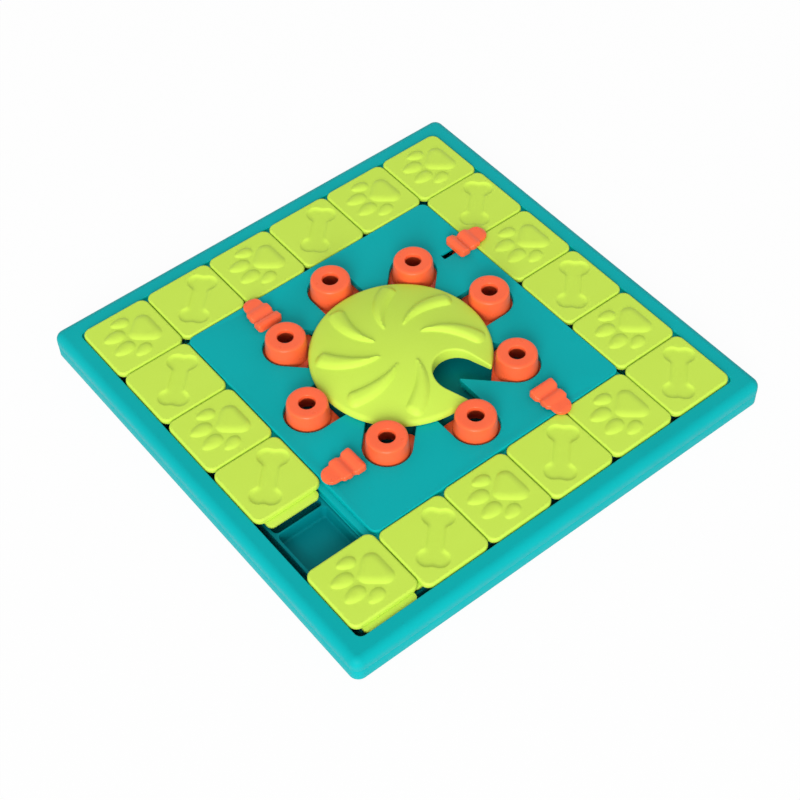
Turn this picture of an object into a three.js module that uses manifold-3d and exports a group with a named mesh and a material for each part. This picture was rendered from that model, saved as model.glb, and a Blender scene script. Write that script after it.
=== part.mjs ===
// A puzzle board for a dog: a square case with sliding tiles round a raised deck.
// A wheel on the deck holds eight pegs in their slots, and four lockers hold the tiles.
// Lengths are millimetres. X and Y run along the sides, Z is up, the feet stand on Z = 0.

import * as THREE from 'three';
import { mergeVertices } from 'three/addons/utils/BufferGeometryUtils.js';
import Module from 'manifold-3d';

const wasm = await Module();
wasm.setup();

// Fits that every piece shares
const CLEARANCE = 0.3; // gap kept between pieces that rest on each other
const OVERRUN = 2; // how far a cut runs past the face that it opens

// Case: the board's outline, its border and its two halves
const PITCH = 64; // spacing of the tile places
const PLACE_COUNT = 6; // tile places along one side
const RIM_WIDTH = 17.6;
const CASE_CORNER = 17;
const RIM_ROUND = 5;
const OPENING_CORNER = 7;
const CASE_HEIGHT = 24.1;
const CASE_WALL = 3;
const PARTING_HEIGHT = 11.6; // height of the lower half
const PARTING_STEP = 0.5; // how far the lower half stands in from the upper one
const SHEET = 2.3; // thickness of the border and of the deck
const FLOOR = 2;
const GUIDE_RIB = 2; // thickness of the rib that the wells lie against

// Feet: rubber buttons pushed through the floor
const FOOT_PROUD = 1.4;
const FOOT_RADIUS = 9;
const FOOT_STEM_RADIUS = 4;
const FOOT_BARB = 1.1; // how far the barb stands out from the stem
const FOOT_BARB_HEIGHT = 1.8;
const FOOT_INSET = 14.6; // from the case's side to the foot's middle
const FOOT_ALONG = 33; // from the case's other side to the foot's middle

// Screws that hold the border and the deck to the floor
const SCREW_RADIUS = 1.4;
const SCREW_LENGTH = 13;
const SCREW_HEAD_RADIUS = 3.2;
const SCREW_HEAD_HEIGHT = 2;
const SCREW_HEAD_RECESS = 0.8; // depth of the head inside its cup
const BOSS_WALL = 2.6;
const CUP_WALL = 1.6;
const RIM_SCREW_INSET = 11.5; // from the case's sides
const DECK_SCREW_INSET = 16; // from the deck's sides

// Tiles: a slab, a plate with two tongues under it and a skirt that rides on the wells
const TILE_GAP = 0.6;
const TILE_CORNER = 7.5;
const TILE_PROUD = 2.3;
const TILE_EDGE = 1.5;
const PLATE_HALF = 24.5;
const TONGUE_REACH = 6.5;
const TONGUE_THICKNESS = 2.8;
const TONGUE_CORNER = 5;
const TILE_SKIRT_WALL = 1.5;
const TILE_SKIRT_HEIGHT = 2.1;
const SHIFTED_TILE = 6; // how far the last tile has been pushed back

// Relief on the tiles
const PAW_HEIGHT = 1.3;
const PAW_SLOPE = 1.7;
const PAW_SINK = 0.9; // how deep the pads are rooted in the slab
const PAW_LOBE_RADIUS = 7;
const PAW_LOBE_X = 8.9;
const PAW_LOBE_Y = 15.9;
const PAW_TIP_RADIUS = 5.6;
const PAW_TIP_Y = 4;
const TOE_WIDTH = 12.8;
const TOE_LENGTH = 19;
const TOE_X = 7.9;
const TOE_Y = -12.6;
const OUTER_TOE_WIDTH = 11;
const OUTER_TOE_LENGTH = 16.4;
const OUTER_TOE_X = 18.6;
const OUTER_TOE_Y = -1;
const TOE_TAPER_SHARE = 0.2; // how much narrower a toe is at its front
const BONE_LENGTH = 55.4;
const BONE_KNOB_RADIUS = 8.5;
const BONE_KNOB_SPREAD = 5; // from the bone's middle line to a knob's middle
const BONE_SHAFT_HALF = 7.3;
const BONE_DEPTH = 1.3;
const BONE_SLOPE = 1.6;
const BONE_SHIFT_Y = 2.5;

// Wells: four equal strips of five cups, laid round the deck like a pinwheel.
// Each strip is a long tray and a short one, which meet at a joint
const WELL_HALF = 23; // half the inner width
const WELL_WALL = 2.5;
const WELL_SHEET = 1.6; // floor and dividers
const DIVIDER_SHIFT = 11; // from the edge of a tile place to the divider
const CUPS_PER_STRIP = 5;
const LONG_CUP_COUNT = 3; // cups in the long tray
const JOINT_WALL = 1.3; // wall of each tray at the joint

// Deck: raised panel with a star of eight slots
const DECK_GAP = 0.1; // from the deck's side to the edge of the tile places
const DECK_RISE = 1.9; // how far the deck stands above the border
const DECK_CORNER = 7;
const DECK_EDGE = 1;
const LIP_REACH = 5.3; // tongue of the deck and of the border, under the tiles
const LIP_ROOT = 3.4;
const ARMS = 8;
const SLOT_SIDE_GAP = 1.9; // between a peg and the side of its slot
const SLOT_END_GAP = 1.5; // between a peg and the round end of its slot
const SKIRT_DEPTH = 2.3;
const SKIRT_WALL = 4.1;

// Pegs
const PEG_BORDER = 32.1; // from the deck's side to the ring of pegs
const PEG_RADIUS = 18.6;
const PEG_TRAVEL = 42.8; // from the ring to the place in the wheel's notch
const PEG_TOP_RADIUS = 17;
const PEG_PROUD = 14.6;
const PEG_ROUND = 2.6;
const PEG_HOLE_RADIUS = 6.6;
const PEG_FLANGE = 3.3; // how far the foot stands out under the deck
const PEG_FOOT_STEP = 1.2; // the same at the foot's inner end
const PEG_FOOT_CORNER = 7;
const PEG_FOOT_HEIGHT = 4.2;
const PEG_FOOT_PLAY = 0.4;

// Star tray: the bed that the pegs run on, with a treat cup under each
const BED_SHEET = 2;
const BED_WALL = 2;
const BED_SIDE_GAP = 0.7;
const TREAT_CUP_RADIUS = 14;
const TREAT_CUP_SHEET = 1.6;
const HUB_RADIUS = 9;
const HUB_SOCKET_WALL = 3;
const HUB_SOCKET_HEIGHT = 5.5;
const AXLE_RADIUS = 2;
const AXLE_LENGTH = 12;
const AXLE_HEAD_RADIUS = 4.2;
const AXLE_HEAD_HEIGHT = 2.6;
const WASHER_RADIUS = 7;
const WASHER_THICKNESS = 1.2;

// Wheel
const WHEEL_GAP = 0.6; // between the wheel and the pegs' widest part
const WHEEL_LIFT = 0.7; // above the deck
const WHEEL_EDGE = 4.8; // thickness at the rim
const WHEEL_CROWN = 9.6; // rise of the dome from its rim to its middle
const WHEEL_ROUND = 2.2;
const NOTCH_GAP = 2.1; // round a peg in the notch
const NOTCH_MOUTH_GAP = 1; // beside a peg in the notch's mouth
const RIB_HEIGHT = 3;
const RIB_INNER = 21.5;
const RIB_MARGIN = 10.6; // from the ribs' outer ends to the wheel's rim
const RIB_HALF = 6.2;
const RIB_TIP_HALF = 1.1;
const RIB_SWEEP = THREE.MathUtils.degToRad(29);

// Lockers: ridged thumb slides that cover the joint of two tiles
const LOCKER_TRAVEL = 16;
const LOCKER_PAST = 0.6; // how far a pulled back locker's nose reaches past the deck's side
const LOCKER_LENGTH = 35;
const LOCKER_TAIL_HALF = 11.8;
const LOCKER_WAIST_HALF = 10.2;
const LOCKER_SECOND_HALF = 10.8;
const LOCKER_NOSE_HALF = 8.3;
const LOCKER_CORNER = 3;
const LOCKER_RIDGE = 7.4;
const LOCKER_SECOND_RIDGE = 6;
const LOCKER_VALLEY = 4.2;
const LOCKER_NOSE_HEIGHT = 4.6;
const LOCKER_NOSE_PLAY = 1; // above the tiles
const LOCKER_NOSE_SLOPE = 2.7; // length of the slope at the nose's tip
const LOCKER_NOSE_DROP = 1.3;
const LOCKER_NOSE_SHARE = 0.5; // share of the length that reaches over the tiles
const LOCKER_WAIST_SHARE = 0.33; // where the valley and the waist lie along the length
const LOCKER_SECOND_SHARE = 0.5; // where the second ridge lies
const LOCKER_CREST_SHARES = [0.08, 0.17]; // where the first ridge starts and ends
const KEY_HALF = 3.4;
const KEY_TIP_HALF = 0.9;
const KEY_LENGTH = 2.6;
const NECK_HALF = 2.5;
const NECK_LENGTH = 7;
const NECK_FROM_TIP = 30.7; // from the locker's nose to the start of its neck
const NECK_SLOT_GAP = 0.4;
const KEEPER_MARGIN = 2.4;
const KEEPER_THICKNESS = 2;
const KEEPER_PLAY = 0.4;
const STUD_STEP = 0.7; // how far the neck's stud stands in from its sides

// Facets
const CORNER_STEPS = 2;
const ARC_STEPS = 3;
const TOE_STEPS = 8;
const SMALL_STEPS = 8;
const CUP_STEPS = 12;
const ROUND_STEPS = 16;
const WHEEL_STEPS = 40;
const RIB_STEPS = 4;
const DOME_STEPS = 3;

// Levels, from the floor up
const CASE_UNDER = FOOT_PROUD;
const FLOOR_TOP = CASE_UNDER + FLOOR;
const RIM_TOP = CASE_UNDER + CASE_HEIGHT;
const PARTING = CASE_UNDER + PARTING_HEIGHT;
const SHEET_UNDER = RIM_TOP - SHEET;
const TILE_TOP = RIM_TOP + TILE_PROUD;
const TONGUE_TOP = SHEET_UNDER - CLEARANCE;
const TONGUE_UNDER = TONGUE_TOP - TONGUE_THICKNESS;
const TILE_UNDER = TONGUE_UNDER - TILE_SKIRT_HEIGHT;
const WELL_TOP = TILE_UNDER - CLEARANCE;
const WELL_UNDER = FLOOR_TOP + CLEARANCE;
const SKIRT_UNDER = SHEET_UNDER - SKIRT_DEPTH;
const BED_WALL_TOP = SKIRT_UNDER - CLEARANCE;
const PEG_FOOT_TOP = SKIRT_UNDER - PEG_FOOT_PLAY;
const PEG_UNDER = PEG_FOOT_TOP - PEG_FOOT_HEIGHT;
const BED_TOP = PEG_UNDER - CLEARANCE;
const BED_UNDER = BED_TOP - BED_SHEET;
const DECK_TOP = RIM_TOP + DECK_RISE;
const DECK_UNDER = DECK_TOP - SHEET;
const WHEEL_UNDER = DECK_TOP + WHEEL_LIFT;
const WHEEL_EDGE_TOP = WHEEL_UNDER + WHEEL_EDGE;
const WHEEL_TOP = WHEEL_EDGE_TOP + WHEEL_CROWN;
const LOCKER_UNDER = DECK_TOP + CLEARANCE;
const KEEPER_TOP = TONGUE_UNDER - KEEPER_PLAY;
const KEEPER_UNDER = KEEPER_TOP - KEEPER_THICKNESS;
const SCREW_SEAT = CASE_UNDER + SCREW_HEAD_RECESS + SCREW_HEAD_HEIGHT;
const CUP_TOP = SCREW_SEAT + CLEARANCE + CUP_WALL;

// Plan sizes that follow
const TRACK_HALF = (PITCH * PLACE_COUNT) / 2;
const BOARD_HALF = TRACK_HALF + RIM_WIDTH;
const TRAY_HALF = BOARD_HALF - PARTING_STEP;
const INNER_EDGE = TRACK_HALF - PITCH;
const DECK_HALF = INNER_EDGE - DECK_GAP;
const TILE_HALF = (PITCH - TILE_GAP) / 2;
const TRACK_MIDDLE = TRACK_HALF - PITCH / 2;
const WELL_OUTER = TRACK_MIDDLE + WELL_HALF + WELL_WALL;
const WELL_INNER = TRACK_MIDDLE - WELL_HALF - WELL_WALL;
const GUIDE_OUTER = WELL_INNER - CLEARANCE;
const RIM_SCREW = BOARD_HALF - RIM_SCREW_INSET;
const DECK_SCREW = DECK_HALF - DECK_SCREW_INSET;
const PILOT_RADIUS = SCREW_RADIUS + CLEARANCE;
const BOSS_RADIUS = PILOT_RADIUS + BOSS_WALL;
const HEAD_CUP_RADIUS = SCREW_HEAD_RADIUS + CLEARANCE;
const FOOT_X = BOARD_HALF - FOOT_INSET;
const FOOT_Y = BOARD_HALF - FOOT_ALONG;
const PEG_RING = DECK_HALF - PEG_BORDER;
const PEG_FOOT_HALF = PEG_RADIUS + PEG_FLANGE;
const PEG_FOOT_INNER = PEG_RADIUS + PEG_FOOT_STEP;
const SLOT_HALF = PEG_RADIUS + SLOT_SIDE_GAP;
const SLOT_END = PEG_RING + SLOT_END_GAP - SLOT_SIDE_GAP;
const BED_HALF = PEG_FOOT_HALF + BED_SIDE_GAP;
const WHEEL_RADIUS = PEG_RING - PEG_RADIUS - WHEEL_GAP;
const NOTCH_HALF = PEG_RADIUS + NOTCH_GAP;
const NOTCH_MOUTH_HALF = PEG_RADIUS + NOTCH_MOUTH_GAP;
const NOTCH_CENTRE = PEG_RING - PEG_TRAVEL;
const RIB_OUTER = WHEEL_RADIUS - RIB_MARGIN;
const LOCKER_SIDE = INNER_EDGE - PITCH;
const LOCKER_HOME = DECK_HALF + LOCKER_PAST - LOCKER_LENGTH;
const NOSE_START = LOCKER_LENGTH * (1 - LOCKER_NOSE_SHARE);
const NECK_START = LOCKER_LENGTH - NECK_FROM_TIP;

// Materials
function plastic(name, colour, roughness) {
  const material = new THREE.MeshStandardMaterial({ color: colour, roughness, metalness: 0 });
  material.name = name;
  return material;
}
const TEAL = plastic('teal_plastic', 0x1fa9b0, 0.45);
const DARK_TEAL = plastic('dark_teal_plastic', 0x04808a, 0.5);
const LIME = plastic('lime_plastic', 0xc4e450, 0.4);
const ORANGE = plastic('orange_plastic', 0xff6b3e, 0.4);
const RUBBER = plastic('rubber', 0x1c1c1e, 0.9);
const STEEL = new THREE.MeshStandardMaterial({ color: 0xb9bcc0, roughness: 0.35, metalness: 1 });

// Solids
function toSolid(geometry) {
  const bare = new THREE.BufferGeometry();
  bare.setAttribute('position', geometry.getAttribute('position').clone());
  bare.setIndex(geometry.getIndex());
  const merged = mergeVertices(bare);
  const index = merged.getIndex().array;
  const corners = [];
  for (let i = 0; i < index.length; i += 3) {
    const [a, b, c] = [index[i], index[i + 1], index[i + 2]];
    if (a !== b && b !== c && c !== a) corners.push(a, b, c);
  }
  const mesh = new wasm.Mesh({
    numProp: 3,
    vertProperties: new Float32Array(merged.getAttribute('position').array),
    triVerts: new Uint32Array(corners),
  });
  return new wasm.Manifold(mesh);
}

function toGeometry(solid) {
  const mesh = solid.getMesh();
  const geometry = new THREE.BufferGeometry();
  geometry.setAttribute('position', new THREE.BufferAttribute(mesh.vertProperties, mesh.numProp));
  geometry.setIndex(new THREE.BufferAttribute(mesh.triVerts, 1));
  geometry.computeVertexNormals();
  return geometry;
}

function join(first, ...others) {
  return others.reduce((sum, next) => sum.add(next), first);
}

function cut(first, ...others) {
  return others.reduce((rest, next) => rest.subtract(next), first);
}

// Prism of a shape between two levels
function prism(shape, low, high, steps = ARC_STEPS) {
  const geometry = new THREE.ExtrudeGeometry(shape, {
    depth: high - low,
    bevelEnabled: false,
    curveSegments: steps,
  });
  geometry.translate(0, 0, low);
  return toSolid(geometry);
}

// Prism whose top and bottom edges are rounded inwards by width and height
function softPrism(shape, low, high, width, height, rings, steps = ARC_STEPS) {
  const geometry = new THREE.ExtrudeGeometry(shape, {
    depth: high - low - 2 * height,
    bevelEnabled: true,
    bevelThickness: height,
    bevelSize: width,
    bevelOffset: -width,
    bevelSegments: rings,
    curveSegments: steps,
  });
  geometry.translate(0, 0, low + height);
  return toSolid(geometry);
}

// Prism whose top edge alone is rounded
function toppedPrism(shape, low, high, width, height, rings, steps = ARC_STEPS) {
  const whole = softPrism(shape, low - 2 * height, high, width, height, rings, steps);
  return whole.subtract(slabBelow(low, 2 * height + OVERRUN));
}

// Block under the whole board from a level down by a depth
function slabBelow(level, depth) {
  const half = BOARD_HALF + OVERRUN;
  return prism(plainBox(-half, -half, half, half), level - depth, level);
}

// Upright cylinder between two levels
function post(radius, low, high, x = 0, y = 0, steps = SMALL_STEPS) {
  const geometry = new THREE.CylinderGeometry(radius, radius, high - low, steps);
  geometry.rotateX(Math.PI / 2);
  geometry.translate(x, y, (low + high) / 2);
  return toSolid(geometry);
}

// Solid of revolution about Z from radius and height pairs
function turned(pairs, steps = ROUND_STEPS) {
  const points = pairs.map(([radius, height]) => new THREE.Vector2(radius, height));
  const geometry = new THREE.LatheGeometry(points, steps);
  geometry.rotateX(Math.PI / 2);
  return toSolid(geometry);
}

// Outlines
function roundedBox(left, bottom, right, top, radius, path = new THREE.Shape()) {
  const quarter = Math.PI / 2;
  path.absarc(right - radius, bottom + radius, radius, -quarter, 0);
  path.absarc(right - radius, top - radius, radius, 0, quarter);
  path.absarc(left + radius, top - radius, radius, quarter, 2 * quarter);
  path.absarc(left + radius, bottom + radius, radius, 2 * quarter, 3 * quarter);
  path.closePath();
  return path;
}

function roundedSquare(half, radius, path = new THREE.Shape()) {
  return roundedBox(-half, -half, half, half, radius, path);
}

function plainBox(left, bottom, right, top) {
  const shape = new THREE.Shape();
  shape.moveTo(left, bottom);
  shape.lineTo(right, bottom);
  shape.lineTo(right, top);
  shape.lineTo(left, top);
  shape.closePath();
  return shape;
}

// Outline of eight arms that cross in the middle and end round
function star(half, end, path = new THREE.Shape()) {
  const step = (2 * Math.PI) / ARMS;
  const valley = half / Math.sin(step / 2);
  for (let arm = 0; arm < ARMS; arm += 1) {
    const angle = arm * step;
    const before = angle - step / 2;
    if (arm === 0) path.moveTo(valley * Math.cos(before), valley * Math.sin(before));
    else path.lineTo(valley * Math.cos(before), valley * Math.sin(before));
    const [x, y] = [end * Math.cos(angle), end * Math.sin(angle)];
    path.absarc(x, y, half, angle - Math.PI / 2, angle + Math.PI / 2);
  }
  path.closePath();
  return path;
}

// Places that repeat
const QUARTERS = [0, 1, 2, 3].map((turn) => (turn * Math.PI) / 2);
const SIDE_AXES = [[1, 0], [0, 1], [-1, 0], [0, -1]];
const CORNER_SIGNS = [[1, 1], [-1, 1], [-1, -1], [1, -1]];

function around(solid, turns) {
  return turns.map((turn) => solid.rotate([0, 0, THREE.MathUtils.radToDeg(turn)]));
}

// Case
function screwCup(x, y) {
  return post(HEAD_CUP_RADIUS + CUP_WALL, CASE_UNDER, CUP_TOP, x, y);
}

function screwCupHollow(x, y) {
  return join(
    post(HEAD_CUP_RADIUS, CASE_UNDER - OVERRUN, SCREW_SEAT + CLEARANCE, x, y),
    post(PILOT_RADIUS, SCREW_SEAT, CUP_TOP + OVERRUN, x, y),
  );
}

function screwBoss(x, y, sheetUnder) {
  return post(BOSS_RADIUS, CUP_TOP + CLEARANCE, sheetUnder + SHEET / 2, x, y);
}

function screwPilot(x, y) {
  const tip = SCREW_SEAT + SCREW_LENGTH + CLEARANCE;
  return post(PILOT_RADIUS, CUP_TOP - OVERRUN, tip, x, y);
}

function screwPlaces() {
  const rim = CORNER_SIGNS.map(([sx, sy]) => [sx * RIM_SCREW, sy * RIM_SCREW]);
  const deck = [1, -1].map((sign) => [sign * DECK_SCREW, sign * DECK_SCREW]);
  return { rim, deck };
}

function footPlaces() {
  return CORNER_SIGNS.map(([sx, sy]) => [sx * FOOT_X, sy * FOOT_Y]);
}

function bottomTray() {
  const outer = roundedSquare(TRAY_HALF, CASE_CORNER - PARTING_STEP);
  const inner = roundedSquare(TRAY_HALF - CASE_WALL, CASE_CORNER - PARTING_STEP - CASE_WALL);
  const shell = cut(
    prism(outer, CASE_UNDER, PARTING - CLEARANCE),
    prism(inner, FLOOR_TOP, PARTING + OVERRUN),
  );
  const ribOuter = plainBox(-GUIDE_OUTER, -GUIDE_OUTER, GUIDE_OUTER, GUIDE_OUTER);
  const ribHalf = GUIDE_OUTER - GUIDE_RIB;
  const ribInner = plainBox(-ribHalf, -ribHalf, ribHalf, ribHalf);
  const rib = cut(
    prism(ribOuter, CASE_UNDER, WELL_TOP),
    prism(ribInner, CASE_UNDER - OVERRUN, WELL_TOP + OVERRUN),
  );
  const { rim, deck } = screwPlaces();
  const cups = [...rim, ...deck].map(([x, y]) => screwCup(x, y));
  const hollows = [...rim, ...deck].map(([x, y]) => screwCupHollow(x, y));
  const footHoles = footPlaces().map(([x, y]) =>
    post(FOOT_STEM_RADIUS + CLEARANCE, CASE_UNDER - OVERRUN, FLOOR_TOP + OVERRUN, x, y));
  return cut(join(shell, rib, ...cups), ...hollows, ...footHoles);
}

// Tongue that runs under the edge of the tiles on the sides +Y and -X of the opening
function rimLip() {
  const inner = TRACK_HALF - LIP_REACH;
  const root = TRACK_HALF + LIP_ROOT;
  const back = plainBox(-root, inner, TRACK_HALF, root);
  const side = plainBox(-root, -TRACK_HALF, -inner, root);
  const webBack = plainBox(-root, TRACK_HALF, TRACK_HALF, root);
  const webSide = plainBox(-root, -TRACK_HALF, -TRACK_HALF, root);
  return join(
    prism(back, TONGUE_UNDER, TONGUE_TOP),
    prism(side, TONGUE_UNDER, TONGUE_TOP),
    prism(webBack, TONGUE_UNDER, SHEET_UNDER + SHEET / 2),
    prism(webSide, TONGUE_UNDER, SHEET_UNDER + SHEET / 2),
  );
}

function topFrame() {
  const outer = roundedSquare(BOARD_HALF, CASE_CORNER);
  const inner = roundedSquare(BOARD_HALF - CASE_WALL, CASE_CORNER - CASE_WALL);
  const opening = roundedSquare(TRACK_HALF, OPENING_CORNER);
  const shell = cut(
    toppedPrism(outer, PARTING, RIM_TOP, RIM_ROUND, RIM_ROUND, 3),
    prism(inner, PARTING - OVERRUN, SHEET_UNDER),
    prism(opening, SHEET_UNDER - OVERRUN, RIM_TOP + OVERRUN),
  );
  const { rim } = screwPlaces();
  const bosses = rim.map(([x, y]) => screwBoss(x, y, SHEET_UNDER));
  const pilots = rim.map(([x, y]) => screwPilot(x, y));
  return cut(join(shell, rimLip(), ...bosses), ...pilots);
}

// Wells
function dividerAfter(count) {
  return count * PITCH + DIVIDER_SHIFT - TRACK_HALF;
}

// Tray with the cups of a strip from the first up to the last
function wellTray(first, last) {
  const [atStart, atEnd] = [first === 0, last === CUPS_PER_STRIP];
  const start = atStart ? -WELL_OUTER : dividerAfter(first) + CLEARANCE / 2;
  const end = atEnd ? WELL_INNER - CLEARANCE : dividerAfter(last) - CLEARANCE / 2;
  const block = prism(plainBox(start, -WELL_OUTER, end, -WELL_INNER), WELL_UNDER, WELL_TOP);
  const marks = [];
  for (let i = first + 1; i < last; i += 1) marks.push(dividerAfter(i));
  const firstLeft = start + (atStart ? WELL_WALL : JOINT_WALL);
  const lastRight = end - (atEnd ? WELL_WALL : JOINT_WALL);
  const lefts = [firstLeft, ...marks.map((x) => x + WELL_SHEET / 2)];
  const rights = [...marks.map((x) => x - WELL_SHEET / 2), lastRight];
  const hollows = lefts.map((left, i) => {
    const cup = plainBox(left, WELL_WALL - WELL_OUTER, rights[i], -WELL_INNER - WELL_WALL);
    return prism(cup, WELL_UNDER + WELL_SHEET, WELL_TOP + OVERRUN);
  });
  return cut(block, ...hollows);
}

// Tiles
// Plate with a tongue on the sides +X and -Y, whose corners are cut off
function tongueOutline(half, reach) {
  const bevel = TONGUE_CORNER;
  const shape = new THREE.Shape();
  shape.moveTo(-half, half);
  shape.lineTo(-half, bevel - reach);
  shape.lineTo(bevel - half, -reach);
  shape.lineTo(half - bevel, -reach);
  shape.lineTo(half, bevel - reach);
  shape.lineTo(half, -half);
  shape.lineTo(reach - bevel, -half);
  shape.lineTo(reach, bevel - half);
  shape.lineTo(reach, half - bevel);
  shape.lineTo(reach - bevel, half);
  shape.closePath();
  return shape;
}

function tileBlank() {
  const slab = toppedPrism(
    roundedSquare(TILE_HALF, TILE_CORNER), SHEET_UNDER, TILE_TOP, TILE_EDGE, TILE_EDGE, 1, CORNER_STEPS,
  );
  const reach = TILE_HALF + TONGUE_REACH;
  const half = PLATE_HALF;
  const tongue = tongueOutline(half, reach);
  const ringHalf = half - TILE_SKIRT_WALL;
  const ringOuter = plainBox(-half, -half, half, half);
  const ringInner = plainBox(-ringHalf, -ringHalf, ringHalf, ringHalf);
  const core = cut(
    prism(ringOuter, TILE_UNDER, SHEET_UNDER + SHEET / 2),
    prism(ringInner, TILE_UNDER - OVERRUN, TONGUE_UNDER),
  );
  return join(
    slab,
    core,
    prism(tongue, TONGUE_UNDER, TONGUE_TOP),
  );
}

// Raised pad with a soft edge, rooted in the slab
function pad(shape) {
  return softPrism(
    shape, TILE_TOP - PAW_SINK - PAW_HEIGHT, TILE_TOP + PAW_HEIGHT, PAW_SLOPE, PAW_HEIGHT, 1, CORNER_STEPS,
  );
}

// Egg outline whose narrow end points to -Y
function toe(x, y, width, length) {
  const points = [];
  for (let i = 0; i < TOE_STEPS; i += 1) {
    const angle = (2 * Math.PI * i) / TOE_STEPS;
    const half = (width / 2) * (1 + TOE_TAPER_SHARE * Math.sin(angle));
    points.push(new THREE.Vector2(
      x + half * Math.cos(angle),
      y + (length / 2) * Math.sin(angle),
    ));
  }
  return new THREE.Shape(points);
}

function heelPad() {
  const shape = new THREE.Shape();
  const wing = THREE.MathUtils.degToRad(40);
  const crown = THREE.MathUtils.degToRad(78);
  shape.absarc(0, PAW_TIP_Y, PAW_TIP_RADIUS, Math.PI + wing, 2 * Math.PI - wing);
  shape.absarc(PAW_LOBE_X, PAW_LOBE_Y, PAW_LOBE_RADIUS, -wing, Math.PI - crown);
  shape.absarc(-PAW_LOBE_X, PAW_LOBE_Y, PAW_LOBE_RADIUS, crown, Math.PI + wing);
  shape.closePath();
  return shape;
}

function pawTile() {
  const toes = [-1, 1].flatMap((side) => [
    toe(side * TOE_X, TOE_Y, TOE_WIDTH, TOE_LENGTH),
    toe(side * OUTER_TOE_X, OUTER_TOE_Y, OUTER_TOE_WIDTH, OUTER_TOE_LENGTH),
  ]);
  return join(tileBlank(), pad(heelPad()), ...toes.map(pad));
}

// Bone outline along X: a shaft between two pairs of round knobs
function boneOutline() {
  const shape = new THREE.Shape();
  const x = BONE_LENGTH / 2 - BONE_KNOB_RADIUS;
  const y = BONE_KNOB_SPREAD;
  const radius = BONE_KNOB_RADIUS;
  const waist = Math.asin((BONE_SHAFT_HALF - y) / radius);
  const dip = Math.asin(y / radius);
  shape.absarc(x, -y, radius, waist - Math.PI, dip);
  shape.absarc(x, y, radius, -dip, Math.PI - waist);
  shape.absarc(-x, y, radius, waist, Math.PI + dip);
  shape.absarc(-x, -y, radius, Math.PI - dip, 2 * Math.PI - waist);
  shape.closePath();
  return shape;
}

function boneTile() {
  const sunk = softPrism(
    boneOutline(), TILE_TOP - BONE_DEPTH, TILE_TOP + 2 * BONE_DEPTH, BONE_SLOPE, BONE_DEPTH, 1, CORNER_STEPS,
  );
  const turn = -QUARTERS[1] / 2;
  const placed = sunk.rotate([0, 0, THREE.MathUtils.radToDeg(turn)]).translate([0, BONE_SHIFT_Y, 0]);
  return cut(tileBlank(), placed);
}

// Deck
function deckLip() {
  const reach = DECK_HALF + LIP_REACH;
  const root = DECK_HALF - LIP_ROOT;
  const front = plainBox(-DECK_HALF, -reach, reach, -root);
  const side = plainBox(root, -reach, reach, DECK_HALF);
  const corner = DECK_HALF - DECK_CORNER;
  const webFront = plainBox(-corner, DECK_EDGE - DECK_HALF, corner, -root);
  const webSide = plainBox(root, -corner, DECK_HALF - DECK_EDGE, corner);
  return join(
    prism(front, TONGUE_UNDER, TONGUE_TOP),
    prism(side, TONGUE_UNDER, TONGUE_TOP),
    prism(webFront, TONGUE_UNDER, SHEET_UNDER + SHEET / 2),
    prism(webSide, TONGUE_UNDER, SHEET_UNDER + SHEET / 2),
  );
}

// Slot for a locker's neck, on the side +X
function neckSlot() {
  const start = LOCKER_HOME + NECK_START - NECK_SLOT_GAP;
  const end = LOCKER_HOME + NECK_START + NECK_LENGTH + LOCKER_TRAVEL + NECK_SLOT_GAP;
  const half = NECK_HALF + NECK_SLOT_GAP;
  const shape = plainBox(start, LOCKER_SIDE - half, end, LOCKER_SIDE + half);
  return prism(shape, TONGUE_UNDER - OVERRUN, DECK_TOP + OVERRUN);
}

function deckPlate() {
  const panel = roundedSquare(DECK_HALF, DECK_CORNER);
  panel.holes.push(star(SLOT_HALF, SLOT_END, new THREE.Path()));
  const slab = toppedPrism(panel, SHEET_UNDER, DECK_TOP, DECK_EDGE, DECK_EDGE, 1);
  const pocket = roundedSquare(DECK_HALF - SHEET, DECK_CORNER - SHEET);
  pocket.holes.push(star(SLOT_HALF + SKIRT_WALL, SLOT_END, new THREE.Path()));
  const flat = cut(slab, prism(pocket, SHEET_UNDER - OVERRUN, DECK_UNDER));
  const skirtShape = star(SLOT_HALF + SKIRT_WALL, SLOT_END);
  skirtShape.holes.push(star(SLOT_HALF, SLOT_END, new THREE.Path()));
  const skirt = prism(skirtShape, SKIRT_UNDER, SHEET_UNDER + DECK_EDGE / 2);
  const { deck } = screwPlaces();
  const bosses = deck.map(([x, y]) => screwBoss(x, y, DECK_UNDER));
  const pilots = deck.map(([x, y]) => screwPilot(x, y));
  const slots = around(neckSlot(), QUARTERS);
  return cut(join(flat, skirt, deckLip(), ...bosses), ...pilots, ...slots);
}

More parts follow.
